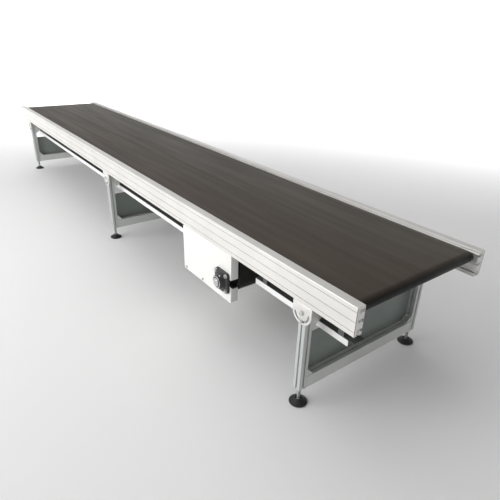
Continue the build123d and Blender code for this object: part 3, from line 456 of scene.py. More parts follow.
@dataclass(frozen=True)
class Finishes:
    """Every finish on the conveyor."""

    # The rail's grooves carry painted shade.
    rail: Anodised = Anodised("rail_anodised", (0.80, 0.785, 0.755), Along.X, groove_shade=True)
    leg: Anodised = Anodised("leg_anodised", (0.60, 0.62, 0.61), Along.Z, 0.45)
    cross: Anodised = Anodised("cross_anodised", (0.66, 0.67, 0.655), Along.Y, 0.15)
    plate: Anodised = Anodised("pivot_plate_anodised", (0.78, 0.77, 0.745), Along.Z, 0.45)
    pulley: Anodised = Anodised("pulley_turned", (0.62, 0.63, 0.64), Along.Y, 0.9)
    white: PowderCoat = PowderCoat("drive_box_coat", (0.84, 0.835, 0.81))
    strip: PowderCoat = PowderCoat("strip_coat", (0.88, 0.88, 0.87))
    # Painted shade: the strip's own sheet, coloured dark where it lies in the shade under the rail.
    strip_top_shade: PowderCoat = PowderCoat("strip_top_painted_shade", (0.10, 0.105, 0.10))
    panel: PowderCoat = PowderCoat("panel_coat", (0.215, 0.240, 0.225), 0.34, 0.00004)
    motor: PowderCoat = PowderCoat("motor_enamel", (0.05, 0.058, 0.068), 0.32, 0.00008)
    bed: Galvanised = Galvanised("bed_galvanised", (0.56, 0.57, 0.57))
    zinc: PlatedSteel = PlatedSteel("zinc_bolts", (0.66, 0.66, 0.64))
    steel: PlatedSteel = PlatedSteel("bright_steel", (0.72, 0.72, 0.71), 0.2)
    stem: PlatedSteel = PlatedSteel("foot_stem_zinc", (0.46, 0.47, 0.47), 0.3)
    roller: PlatedSteel = PlatedSteel("roller_tube", (0.68, 0.69, 0.70), 0.3, Along.Y)
    # Belt colours: the first is painted shade on the nose and return runs, the second painted light on the
    # top run.
    cover: BeltCover = BeltCover("belt_cover", (0.012, 0.011, 0.010), (0.066, 0.053, 0.040))
    lagging: Rubber = Rubber("drum_lagging", (0.020, 0.020, 0.020), 0.65)
    timing: Rubber = Rubber("timing_belt_rubber", (0.014, 0.014, 0.015), 0.55)
    nylon: Rubber = Rubber("foot_nylon", (0.012, 0.012, 0.013), 0.42, 0.00005)
    seal: Rubber = Rubber("bearing_seal", (0.03, 0.012, 0.01), 0.5)
    housing: CastMetal = CastMetal("bearing_cast", (0.028, 0.029, 0.030), 0.36)
    bracket: CastMetal = CastMetal("bracket_cast", (0.62, 0.62, 0.60), 0.36, 0.6)


class Wardrobe:
    """Builds each finish once and puts it on pieces."""

    def __init__(self, finishes: Finishes) -> None:
        """Keep the finishes.

        Args:
            finishes: the object's finishes.
        """
        self.finishes = finishes
        self.made: dict[str, bpy.types.Material] = {}

    def material(self, finish: str) -> bpy.types.Material:
        """Give the material of a finish, which is built at its first use."""
        if finish not in self.made:
            self.made[finish] = getattr(self.finishes, finish).make()
        return self.made[finish]

    def dress(self, piece: bpy.types.Object, *finishes: str) -> bpy.types.Object:
        """Put finishes on a piece, one for each of its material slots."""
        piece.data.materials.clear()
        for finish in finishes:
            piece.data.materials.append(self.material(finish))
        return piece


wardrobe = Wardrobe(Finishes())


# ---------------------------------------------------------------- the bench: shared modelling moves
def centre(node: str) -> Vector:
    """Give the middle of a CAD node's box."""
    low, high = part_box(node)
    return (low + high) / 2


def clear_selection() -> None:
    """Leave edit mode and select nothing."""
    if bpy.context.mode != "OBJECT":
        bpy.ops.object.mode_set(mode="OBJECT")
    bpy.ops.object.select_all(action="DESELECT")


def only(piece: bpy.types.Object) -> bpy.types.Object:
    """Select one piece alone and make it active."""
    clear_selection()
    piece.select_set(True)
    bpy.context.view_layer.objects.active = piece
    return piece


def settle(piece: bpy.types.Object) -> bpy.types.Object:
    """Write a piece's place, turn and size into its mesh, so that its object stands at the origin."""
    only(piece)
    bpy.ops.object.transform_apply(location=True, rotation=True, scale=True)
    return piece


def fresh(name: str) -> bpy.types.Object:
    """Name the primitive that was just added and write its place into its mesh."""
    piece = bpy.context.active_object
    piece.name = name
    piece.data.name = name
    return settle(piece)


def disc(name: str, radius: float, start: float, end: float, at: Point = (0.0, 0.0, 0.0), sides: int = 48
         ) -> bpy.types.Object:
    """Add a round blank along Z.

    Args:
        name: the piece's name.
        radius: its radius.
        start: its lower face, above at.
        end: its upper face, above at.
        at: where its axis meets its own zero height.
        sides: how many sides it has.

    Returns:
        The blank.
    """
    clear_selection()
    bpy.ops.mesh.primitive_cylinder_add(vertices=sides, radius=radius, depth=end - start,
                                        location=(at[0], at[1], at[2] + (start + end) / 2))
    return fresh(name)


def block(name: str, low: Point, high: Point) -> bpy.types.Object:
    """Add a block between two corners."""
    clear_selection()
    size = [top - bottom for bottom, top in zip(low, high)]
    middle = [(bottom + top) / 2 for bottom, top in zip(low, high)]
    bpy.ops.mesh.primitive_cube_add(size=1, location=middle, scale=size)
    return fresh(name)


def ring(name: str, outer: float, inner: float, start: float, end: float, sides: int = 64
         ) -> bpy.types.Object:
    """Add a ring along Z.

    Args:
        name: the piece's name.
        outer: its outer radius.
        inner: its inner radius.
        start: its lower face.
        end: its upper face.
        sides: how many sides it has.

    Returns:
        The ring.
    """
    piece = disc(name, outer, start, end, sides=sides)
    cutter = disc(name + "_cut", inner, start - outer, end + outer, sides=sides)
    return cut(piece, cutter)


def cut(piece: bpy.types.Object, cutter: bpy.types.Object, operation: str = "DIFFERENCE"
        ) -> bpy.types.Object:
    """Cut one closed mesh with another, which is then removed.

    Args:
        piece: the mesh that stays.
        cutter: the mesh that cuts it.
        operation: DIFFERENCE, INTERSECT or UNION.

    Returns:
        The cut piece.
    """
    only(piece)
    modifier = piece.modifiers.new("cut", "BOOLEAN")
    modifier.operation = operation
    modifier.object = cutter
    modifier.solver = "EXACT"
    bpy.ops.object.modifier_apply(modifier=modifier.name)
    bpy.data.objects.remove(cutter)
    return piece


def rounded(piece: bpy.types.Object, width: float, segments: int = 2, angle: float = 40.0
            ) -> bpy.types.Object:
    """Round a piece's sharp edges and smooth its shading.

    Args:
        piece: the piece.
        width: the width of the rounding.
        segments: how many strips the rounding has.
        angle: edges that turn more than this many degrees are rounded.

    Returns:
        The rounded piece.
    """
    only(piece)
    modifier = piece.modifiers.new("round", "BEVEL")
    modifier.width = width
    modifier.segments = segments
    modifier.limit_method = "ANGLE"
    modifier.angle_limit = math.radians(angle)
    modifier.miter_outer = "MITER_ARC"
    bpy.ops.object.modifier_apply(modifier=modifier.name)
    return smooth(piece)


def smooth(piece: bpy.types.Object) -> bpy.types.Object:
    """Shade a piece smooth except over its sharp edges."""
    only(piece)
    bpy.ops.object.shade_smooth_by_angle(angle=SMOOTH_ANGLE)
    return piece


def joined(name: str, pieces: list[bpy.types.Object]) -> bpy.types.Object:
    """Join pieces into one mesh.

    Args:
        name: the name of the result.
        pieces: the pieces, which are used up.

    Returns:
        The joined piece.
    """
    clear_selection()
    for piece in pieces:
        piece.select_set(True)
    bpy.context.view_layer.objects.active = pieces[0]
    if len(pieces) > 1:
        bpy.ops.object.join()
    pieces[0].name = name
    pieces[0].data.name = name
    return pieces[0]


def copied(piece: bpy.types.Object, name: str, move: Matrix) -> bpy.types.Object:
    """Copy a piece with its own mesh.

    Args:
        piece: the piece to copy.
        name: the copy's name.
        move: where the copy goes.

    Returns:
        The copy, with its place in its mesh.
    """
    twin = piece.copy()
    twin.data = piece.data.copy()
    twin.name = name
    bpy.context.scene.collection.objects.link(twin)
    twin.matrix_world = move
    return settle(twin)


def standing(out: Vector, at: Vector) -> Matrix:
    """Give the move that points +Z out and takes the origin to at."""
    return Matrix.Translation(at) @ Vector((0, 0, 1)).rotation_difference(out).to_matrix().to_4x4()


def turned(piece: bpy.types.Object, out: Vector, at: Vector) -> bpy.types.Object:
    """Turn a piece that was made along Z so that its +Z points out, and move its origin to at."""
    piece.matrix_world = standing(out, at)
    return settle(piece)


@contextmanager
def editing(piece: bpy.types.Object, mode: str = "FACE") -> Iterator[None]:
    """Edit a piece's mesh with all of it selected.

    Args:
        piece: the piece.
        mode: what is selected, VERT, EDGE or FACE.
    """
    only(piece)
    bpy.ops.object.mode_set(mode="EDIT")
    bpy.ops.mesh.select_mode(type=mode)
    bpy.ops.mesh.select_all(action="SELECT")
    yield
    bpy.ops.object.mode_set(mode="OBJECT")


def pick(piece: bpy.types.Object, test: Callable[[Vector, Vector], bool]) -> None:
    """Select a mesh's faces in edit mode.

    Args:
        piece: the piece, in edit mode.
        test: takes a face's middle and normal, and says whether to select it.
    """
    bpy.ops.mesh.select_all(action="DESELECT")
    mesh = bmesh.from_edit_mesh(piece.data)
    for face in mesh.faces:
        face.select_set(test(face.calc_center_median(), face.normal))
    mesh.select_flush(True)
    bmesh.update_edit_mesh(piece.data)


def pick_edges(piece: bpy.types.Object, test: Callable[[Vector], bool]) -> None:
    """Select a mesh's edges in edit mode by both their ends.

    Args:
        piece: the piece, in edit mode.
        test: takes a corner's place, and says whether the edge's end counts.
    """
    bpy.ops.mesh.select_mode(type="EDGE")
    bpy.ops.mesh.select_all(action="DESELECT")
    mesh = bmesh.from_edit_mesh(piece.data)
    for edge in mesh.edges:
        edge.select_set(all(test(corner.co) for corner in edge.verts))
    bmesh.update_edit_mesh(piece.data)


def mend(piece: bpy.types.Object) -> bpy.types.Object:
    """Merge a mesh's doubled corners and point its faces outwards."""
    with editing(piece):
        bpy.ops.mesh.remove_doubles(threshold=MERGE)
        bpy.ops.mesh.normals_make_consistent(inside=False)
    return piece


def place(piece: bpy.types.Object, body: str, slot: str, *nodes: str) -> bpy.types.Object:
    """Hand a finished piece to the frame.

    Args:
        piece: the piece.
        body: the CAD body it moves with.
        slot: the record's material slot; not used.
        nodes: the CAD nodes it stands for.

    Returns:
        The piece.
    """
    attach(piece, body)
    if nodes:
        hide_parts(*nodes)
    log.info("%s: %d faces on %s", piece.name, len(piece.data.polygons), body)
    return piece


def eased_copy(node: str, name: str, width: float) -> bpy.types.Object:
    """Copy a CAD node and break its sharp edges.

    Args:
        node: the CAD node.
        name: the copy's name.
        width: the width of the broken edges.

    Returns:
        The copy, which rides on nothing yet.
    """
    piece = bpy.data.objects.new(name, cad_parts[node].data.copy())
    bpy.context.scene.collection.objects.link(piece)
    only(piece)
    if piece.data.has_custom_normals:
        bpy.ops.mesh.customdata_custom_splitnormals_clear()
    with editing(piece):
        bpy.ops.mesh.mark_sharp(clear=True)
        bpy.ops.mesh.remove_doubles(threshold=MERGE)
        bpy.ops.mesh.dissolve_limited(angle_limit=FLAT_ANGLE)
    return rounded(piece, width)


def lathe(name: str, outline: list[tuple[float, float]], steps: int) -> bpy.types.Object:
    """Turn an outline round Z.

    Args:
        name: the piece's name.
        outline: its corners as radius and height.
        steps: how many sides the turned piece has.

    Returns:
        The closed turned piece.
    """
    clear_selection()
    bpy.ops.mesh.primitive_plane_add(size=1)
    piece = fresh(name)
    with editing(piece, "VERT"):
        bpy.ops.mesh.merge(type="CENTER")
        bpy.ops.transform.translate(value=(outline[0][0], 0, outline[0][1]))
        for before, after in zip(outline, outline[1:]):
            bpy.ops.mesh.extrude_region_move(
                TRANSFORM_OT_translate={"value": (after[0] - before[0], 0, after[1] - before[1])})
        bpy.ops.mesh.select_all(action="SELECT")
        bpy.ops.mesh.spin(steps=steps, dupli=False, angle=2 * math.pi, center=(0, 0, 0), axis=(0, 0, 1))
    return mend(piece)


# ---------------------------------------------------------------- fasteners
@dataclass
class Fastener:
    """One bolt, screw or nut of a CAD node, as its solid shows it."""

    kind: Head
    seat: Vector
    out: Vector
    head_radius: float
    head_height: float
    shank_radius: float
    length: float
    nut_height: float


def islands(node: str) -> list[list[Vector]]:
    """Split a CAD node into its separate solids.

    Args:
        node: the CAD node.

    Returns:
        The corners of each solid.
    """
    mesh = bmesh.new()
    mesh.from_mesh(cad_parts[node].data)
    bmesh.ops.remove_doubles(mesh, verts=mesh.verts, dist=MERGE)
    seen = set()
    found = []
    for first in mesh.verts:
        if first in seen:
            continue
        seen.add(first)
        group, queue = [], [first]
        while queue:
            corner = queue.pop()
            group.append(corner.co.copy())
            for edge in corner.link_edges:
                other = edge.other_vert(corner)
                if other not in seen:
                    seen.add(other)
                    queue.append(other)
        found.append(group)
    mesh.free()
    return found


def read_fastener(corners: list[Vector]) -> Fastener:
    """Work out what fastener a solid is.

    Args:
        corners: the solid's corners.

    Returns:
        The fastener.
    """
    levels = [sorted({round(corner[way], LEVEL_DIGITS) for corner in corners}) for way in range(3)]
    axis = min(range(3), key=lambda way: len(levels[way]))
    steps = levels[axis]
    across = [way for way in range(3) if way != axis]
    middle = [(min(corner[way] for corner in corners) + max(corner[way] for corner in corners)) / 2
              for way in range(3)]

    def reach(level: float) -> list[float]:
        """Give how far the corners at a level lie from the axis."""
        return [math.dist([corner[way] for way in across], [middle[way] for way in across])
                for corner in corners if abs(corner[axis] - level) < LEVEL_ROOM]

    if len(steps) == 2:
        kind, up = Head.NUT, -1
        head_end, seat_level = steps
        length = nut = 0.0
    else:
        with_nut = len(steps) > 3
        if with_nut:
            up = 1 if steps[-1] - steps[-2] < steps[1] - steps[0] else -1
        else:
            up = 1 if max(reach(steps[-1])) > max(reach(steps[0])) else -1
        ordered = steps[::up]
        head_end, seat_level = ordered[-1], ordered[-2]
        length = abs(seat_level - ordered[0])
        nut = abs(ordered[1] - ordered[0]) if with_nut else 0.0
        kind = Head.HEXAGON if len(reach(head_end)) <= HEXAGON_CORNERS else Head.SOCKET
    seat, out = Vector(middle), Vector((0, 0, 0))
    seat[axis] = seat_level
    out[axis] = up
    shank = min(reach(head_end if kind is Head.NUT else seat_level))
    return Fastener(kind, seat, out, max(reach(head_end)), abs(head_end - seat_level), shank, length, nut)


@dataclass
class FastenerSet:
    """The fasteners of one CAD node, modelled in full and joined into one piece."""

    node: str
    body: str
    washer_thickness: float = 0.0014
    washer_share: float = 1.12      # of the hexagon's corner radius
    washer_edge: float = 0.0003
    nut_edge: float = 0.0002
    blank_share: float = 1.001      # of the hexagon's corner radius
    chamfer_share: float = 0.95     # of the hexagon's corner past its flats
    rounding_share: float = 0.12    # of a socket head's radius
    key_share: float = 0.52         # of a socket head's radius
    key_floor_share: float = 0.4    # of a socket head's height
    shank_sides: int = 20
    templates: dict[tuple, bpy.types.Object] = field(default_factory=dict)

    def hexagon(self, radius: float, low: float, high: float, both: bool) -> bpy.types.Object:
        """Model a hexagon with turned corners.

        Args:
            radius: its corner radius.
            low: its lower face.
            high: its upper face.
            both: whether both faces are chamfered.

        Returns:
            The hexagon.
        """
        prism = disc("hexagon", radius, low, high, sides=6)
        blank = disc("blank", radius * self.blank_share, low, high)
        chamfer = (radius - radius * math.cos(math.pi / 6)) * self.chamfer_share
        only(blank)
        bpy.ops.object.mode_set(mode="EDIT")
        pick(blank, lambda middle, normal: normal.z > 0.9 or (both and normal.z < -0.9))
        bpy.ops.mesh.region_to_loop()
        bpy.ops.mesh.bevel(offset=chamfer, segments=1, affect="EDGES")
        bpy.ops.object.mode_set(mode="OBJECT")
        return cut(prism, blank, "INTERSECT")

    def model(self, item: Fastener) -> bpy.types.Object:
        """Model a fastener along Z with its seat at zero.

        Args:
            item: the fastener.

        Returns:
            The template, which stays out of the scene's object.
        """
        radius, height = item.head_radius, item.head_height
        if item.kind is Head.NUT:
            nut = self.hexagon(radius, -height, 0.0, True)
            bore = disc("bore", item.shank_radius, -2 * height, height)
            return rounded(cut(nut, bore), self.nut_edge, 1)
        parts = [disc("shank", item.shank_radius, -item.length, 0.0, sides=self.shank_sides)]
        if item.kind is Head.HEXAGON:
            washer = disc("washer", radius * self.washer_share, 0.0, self.washer_thickness)
            parts.append(rounded(washer, self.washer_edge, 1))
            seat = self.washer_thickness
            parts.append(self.hexagon(radius, seat, seat + height, False))
            if item.nut_height:
                parts.append(self.hexagon(radius, -item.length, item.nut_height - item.length, True))
        else:
            head = rounded(disc("head", radius, 0.0, height), radius * self.rounding_share, 2)
            key = disc("key", radius * self.key_share, height * self.key_floor_share, height * 2, sides=6)
            parts.append(cut(head, key))
        return joined("fastener", parts)

    def build(self) -> bpy.types.Object:
        """Model every fastener of the node and hand the set to the frame."""
        pieces = []
        for corners in islands(self.node):
            item = read_fastener(corners)
            sizes = (item.head_radius, item.head_height, item.length)
            key = (item.kind, *(round(size, 4) for size in sizes))
            if key not in self.templates:
                self.templates[key] = self.model(item)
            pieces.append(copied(self.templates[key], "copy", standing(item.out, item.seat)))
        for template in self.templates.values():
            bpy.data.objects.remove(template)
        whole = smooth(joined(self.node + "_set", pieces))
        return place(wardrobe.dress(whole, "zinc"), self.body, "steel", self.node)


# ---------------------------------------------------------------- the belt
@dataclass
class Belt:
    """The conveying belt: one closed band with rounded edges, round its rollers and the drum."""

    turn_steps: int = 32
    edge_round: float = 0.0005

    def build(self) -> bpy.types.Object:
        """Draw the band round its rollers, give it its thickness and hand it to the frame."""
        low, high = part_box("belt")
        thickness = high.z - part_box("slider_bed")[1].z
        head, tail, drum = centre("head_roller"), centre("tail_roller"), centre("drive_drum")
        head_snub, tail_snub = centre("head_snub_roller"), centre("tail_snub_roller")
        middle = ((head.x + tail.x) / 2, 0, high.z - thickness / 2)
        clear_selection()
        bpy.ops.mesh.primitive_plane_add(size=1, location=middle)
        band = fresh("belt_band")
        with editing(band, "EDGE"):
            bpy.ops.transform.resize(value=(head.x - tail.x, high.y - low.y, 1), center_override=middle)
            pick_edges(band, lambda corner: abs(corner.x - head.x) < HAIR)
            self.turn(head, 180.0)
            self.run(head_snub.x - head.x, 0.0)
            self.turn(head_snub, -90.0)
            self.run(0.0, drum.z - head_snub.z)
            self.turn(drum, 180.0)
            self.run(0.0, tail_snub.z - drum.z)
            self.turn(tail_snub, -90.0)
            self.run(tail.x - tail_snub.x, 0.0)
            self.turn(tail, 180.0)
        mend(band)
        modifier = band.modifiers.new("thickness", "SOLIDIFY")
        modifier.thickness = thickness
        modifier.offset = 0
        bpy.ops.object.modifier_apply(modifier=modifier.name)
        rounded(band, self.edge_round, 2, 60.0)
        return place(wardrobe.dress(band, "cover"), "bed", "belt", "belt")

    def turn(self, axis: Vector, degrees: float) -> None:
        """Carry the band's open edge round a roller."""
        steps = round(self.turn_steps * abs(degrees) / 180)
        bpy.ops.mesh.spin(steps=steps, dupli=False, angle=math.radians(-degrees), center=axis,
                          axis=(0, 1, 0))

    def run(self, along: float, up: float) -> None:
        """Carry the band's open edge along a straight run."""
        bpy.ops.mesh.extrude_region_move(TRANSFORM_OT_translate={"value": (along, 0, up)})


# ---------------------------------------------------------------- levelling feet
@dataclass
class LevellingFoot:
    """One foot: a threaded stem with a ball end, and a moulded pad with ribs round its hub."""

    leg: str
    side: str
    rod_share: float = 0.8          # of the ball's radius
    neck_share: float = 0.62        # of the rod's radius
    neck_reach: float = 2.4         # ball radii from the stem's foot to the neck's top
    collar_height: float = 0.007
    collar_edge: float = 0.0006
    pitch: float = 0.002
    ridge_share: float = 0.86       # of the pitch
    thread_depth: float = 0.0011
    thread_start: float = 0.009     # above the neck
    thread_end: float = 0.002       # below the stem's end
    thread_sides: int = 20
    rib_count: int = 12
    rib_half: float = 0.0011
    rib_share: float = 0.86         # of the pad's radius
    rib_drop: float = 0.004         # pad's top to the ribs' tops at the hub
    rim_height: float = 0.0055
    hub_radius: float = 0.0165
    sole_height: float = 0.0025
    sole_inset: float = 0.002

    def build(self) -> None:
        """Model the stem and the pad, and hand them to the frame."""
        node = f"{self.leg}_leg_{self.side}_foot"
        stem_node, pad_node = node + "_stem", node + "_pad"
        body = f"{self.leg}_{self.side}"
        axis = centre(stem_node)
        place(wardrobe.dress(self.stem(stem_node, axis), "stem"), body + "_stem", "steel", stem_node)
        place(wardrobe.dress(self.pad(pad_node, axis), "nylon"), body + "_pad", "foot", pad_node)

    def stem(self, node: str, axis: Vector) -> bpy.types.Object:
        """Model the stem: a ball, a neck, a collar and a long thread."""
        low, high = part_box(node)
        ball = (high.x - low.x) / 2
        rod = ball * self.rod_share
        root = rod - self.thread_depth
        neck_top = low.z + self.neck_reach * ball
        collar_top = neck_top + self.collar_height
        at = (axis.x, axis.y, 0.0)
        clear_selection()
        bpy.ops.mesh.primitive_uv_sphere_add(segments=32, ring_count=20, radius=ball,
                                             location=(axis.x, axis.y, low.z + ball))
        parts = [fresh("ball")]
        parts.append(disc("neck", rod * self.neck_share, low.z + ball, neck_top + HAIR, at, 32))
        parts.append(rounded(disc("collar", rod, neck_top, collar_top, at, 32), self.collar_edge, 1))
        parts.append(disc("core", root, collar_top - 0.001, high.z, at, 32))
        parts.append(self.thread(axis, root, rod, neck_top + self.thread_start, high.z - self.thread_end))
        return smooth(joined(node + "_turned", parts))

    def thread(self, axis: Vector, root: float, crest: float, low: float, high: float) -> bpy.types.Object:
        """Wind a thread's ridge round the stem.

        Args:
            axis: a point on the stem's axis.
            root: the radius at the thread's root.
            crest: the radius at its crest.
            low: where the thread starts.
            high: where it ends.

        Returns:
            The ridge, closed at both ends.
        """
        clear_selection()
        bpy.ops.mesh.primitive_circle_add(vertices=3, radius=self.pitch / 2, fill_type="NGON")
        ridge = fresh("ridge")
        with editing(ridge):
            for way in ("X", "Y"):
                bpy.ops.transform.rotate(value=math.pi / 2, orient_axis=way, center_override=(0, 0, 0))
        reach = max(corner.co.x for corner in ridge.data.vertices)
        width = reach - min(corner.co.x for corner in ridge.data.vertices)
        tall = max(corner.co.z for corner in ridge.data.vertices) * 2
        grow = (crest - root + HAIR) / width
        ridge.matrix_world = (Matrix.Translation((crest - reach * grow, 0, low + self.pitch))
                              @ Matrix.Diagonal((grow, 1, self.pitch * self.ridge_share / tall, 1)))
        settle(ridge)
        with editing(ridge):
            bpy.ops.mesh.delete(type="ONLY_FACE")
        screw = ridge.modifiers.new("screw", "SCREW")
        screw.screw_offset = self.pitch
        screw.iterations = int((high - low) / self.pitch) - 1
        screw.steps = screw.render_steps = self.thread_sides
        screw.use_smooth_shade = False
        bpy.ops.object.modifier_apply(modifier=screw.name)
        with editing(ridge, "EDGE"):
            bpy.ops.mesh.select_all(action="DESELECT")
            bpy.ops.mesh.select_non_manifold()
            bpy.ops.mesh.edge_face_add()
        mend(ridge)
        ridge.matrix_world = Matrix.Translation((axis.x, axis.y, 0))
        return settle(ridge)

    def pad(self, node: str, axis: Vector) -> bpy.types.Object:
        """Model the pad: a rim, a ribbed dome, a hub with its socket, and a sole set in from the rim."""
        low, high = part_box(node)
        radius = (high.x - low.x) / 2
        floor = low.z + self.sole_height
        rim, hub, top = floor + self.rim_height, self.hub_radius, high.z
        sole = radius - self.sole_inset
        outline = [
            (0.0, top - 0.010), (hub - 0.0065, top - 0.010), (hub - 0.0045, top - 0.0006),
            (hub - 0.0036, top), (hub - 0.0008, top), (hub, top - 0.001), (hub + 0.0007, top - 0.005),
            (hub + 0.006, top - 0.0085), (radius * 0.72, rim + 0.0035), (radius - 0.004, rim),
            (radius - 0.0012, rim - 0.0008), (radius, rim - 0.0026), (radius, floor + 0.0008),
            (radius - 0.0008, floor), (sole, floor), (sole - 0.0006, low.z), (0.0, low.z),
        ]
        parts = [lathe("pad_body", outline, 64)]
        rib_top = top - self.rib_drop
        for number in range(self.rib_count):
            rib = block("rib", (hub, -self.rib_half, floor + 0.002),
                        (radius * self.rib_share, self.rib_half, rib_top))
            with editing(rib):
                pick_edges(rib, lambda corner: corner.x > radius * 0.8 and corner.z > floor + 0.01)
                bpy.ops.transform.translate(value=(0, 0, rim + 0.001 - rib_top))
            rib = rounded(rib, 0.0005, 1)
            rib.matrix_world = Matrix.Rotation(2 * math.pi * number / self.rib_count, 4, "Z")
            parts.append(settle(rib))
        whole = joined(node + "_moulded", parts)
        whole.matrix_world = Matrix.Translation((axis.x, axis.y, 0))
        return smooth(settle(whole))


# ---------------------------------------------------------------- the drive
@dataclass
class Drum:
    """The drive drum: a lagged shell with dished ends, on a keyed shaft."""

    dish: float = 0.012
    step_share: float = 0.08        # of the drum's radius, for the steps of its ends
    edge: float = 0.003
    dish_edge: float = 0.002
    chamfer: float = 0.0012
    centre_hole: float = 0.004
    key_half: float = 0.004
    key_length: float = 0.03

    def build(self) -> None:
        """Model the shell and the shaft, and hand them to the frame."""
        low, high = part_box("drive_drum")
        axis, radius, end = (low + high) / 2, (high.x - low.x) / 2, high.y
        half = (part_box("belt")[1].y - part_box("belt")[0].y) / 2
        step = radius * self.step_share
        near = [
            (0.0, half - self.dish), (radius - 4 * step, half - self.dish),
            (radius - 3 * step, half - self.dish_edge), (radius - 2.6 * step, half), (radius - step, half),
            (radius, half - self.edge),
        ]
        shell = lathe("drum_shell", both_ends(near), 96)
        shell = smooth(turned(shell, SIDEWAYS, axis))
        place(wardrobe.dress(shell, "lagging"), "drum", "drum", "drive_drum")
        bore = shaft_radius()
        hole = self.centre_hole
        near = [(0.0, end - hole), (0.0022, end - hole), (hole, end), (bore - self.chamfer, end),
                (bore, end - self.chamfer)]
        rod = lathe("drum_shaft", both_ends(near), 48)
        for sign in SIDES.values():
            key = block("key", (-self.key_half, bore - self.key_half, sign * end - self.key_length),
                        (self.key_half, bore * 2, sign * end + self.key_length))
            rod = cut(rod, key)
        rod = smooth(turned(rod, SIDEWAYS, axis))
        place(wardrobe.dress(rod, "steel"), "drum", "steel", "drive_drum")


def both_ends(near: list[tuple[float, float]]) -> list[tuple[float, float]]:
    """Complete the outline of a turned piece whose two ends are alike.

    Args:
        near: the upper end, from the axis out to the side.

    Returns:
        The whole outline, from the lower end to the upper one.
    """
    return [(reach, -height) for reach, height in near] + near[::-1]


def shaft_radius() -> float:
    """Read the drum shaft's radius from the corners at the end of the drum node."""
    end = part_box("drive_drum")[1].y
    axis = centre("drive_drum")
    return max(math.hypot(corner.co.x - axis.x, corner.co.z - axis.z)
               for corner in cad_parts["drive_drum"].data.vertices if corner.co.y > end - HAIR)


@dataclass
class DrumBearing:
    """The insert, seal, locking collar and grease nipple of one flange bearing."""

    side: str
    race_radius: float = 0.0305
    seal_radius: float = 0.0262
    seal_room: float = 0.0004
    collar_radius: float = 0.0212
    collar_length: float = 0.0034
    collar_room: float = 0.00005
    sink: float = 0.004             # depth of each ring in the housing
    screw_radius: float = 0.0022
    nipple_from_face: float = 0.012
    nipple_radius: float = 0.0355
    nipple_lean: float = 20.0       # degrees from upright, towards the head end

    def build(self) -> None:
        """Model the parts on the housing's nose and hand them to the frame."""
        axis = centre("drive_drum")
        sign = SIDES[self.side]
        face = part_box("drum_bearings")[1].y
        race = ring("race", self.race_radius, self.seal_radius, -self.sink, 0.0008)
        seal = ring("seal", self.seal_radius, self.collar_radius + self.seal_room, -self.sink, -0.0004)
        for part, piece, edge, finish, body, slot in (
            ("race", race, 0.0004, "steel", "bed", "steel"),
            ("seal", seal, 0.0003, "seal", "bed", "timing"),
            ("collar", self.collar(), 0.0004, "steel", "drum", "steel"),
        ):
            piece = turned(rounded(piece, edge, 1), sign * SIDEWAYS, Vector((axis.x, sign * face, axis.z)))
            piece.name = f"{self.side}_bearing_{part}"
            place(wardrobe.dress(piece, finish), body, slot)
        self.nipple(axis, sign, face)

    def collar(self) -> bpy.types.Object:
        """Model the locking collar with its two screw holes, along Z."""
        radius = self.collar_radius
        collar = ring("collar", radius, shaft_radius() + self.collar_room, -self.sink, self.collar_length)
        for angle in (0.0, 120.0):
            hole = disc("hole", self.screw_radius, radius * 0.6, radius * 1.4, sides=12)
            hole.matrix_world = (Matrix.Rotation(math.radians(angle), 4, "Z")
                                 @ Matrix.Translation((0, 0, self.collar_length * 0.2))
                                 @ Matrix.Rotation(math.radians(90), 4, "X"))
            collar = cut(collar, settle(hole))
        return collar

    def nipple(self, axis: Vector, sign: int, face: float) -> None:
        """Model the grease nipple on the housing's shoulder."""
        outline = [(0.0, -0.004), (0.004, -0.004), (0.004, 0.0025), (0.0025, 0.0035), (0.0022, 0.0065),
                   (0.0032, 0.0075), (0.0030, 0.0095), (0.0015, 0.0108), (0.0, 0.0110)]
        name = f"{self.side}_grease_nipple"
        piece = smooth(lathe(name, outline, 20))
        lean = math.radians(self.nipple_lean)
        upright = Vector((math.sin(lean), 0, math.cos(lean)))
        spot = Vector((axis.x, sign * (face - self.nipple_from_face), axis.z)) + upright * self.nipple_radius
        piece = turned(piece, (upright + sign * 0.5 * SIDEWAYS).normalized(), spot)
        piece.name = name
        place(wardrobe.dress(piece, "zinc"), "bed", "steel")


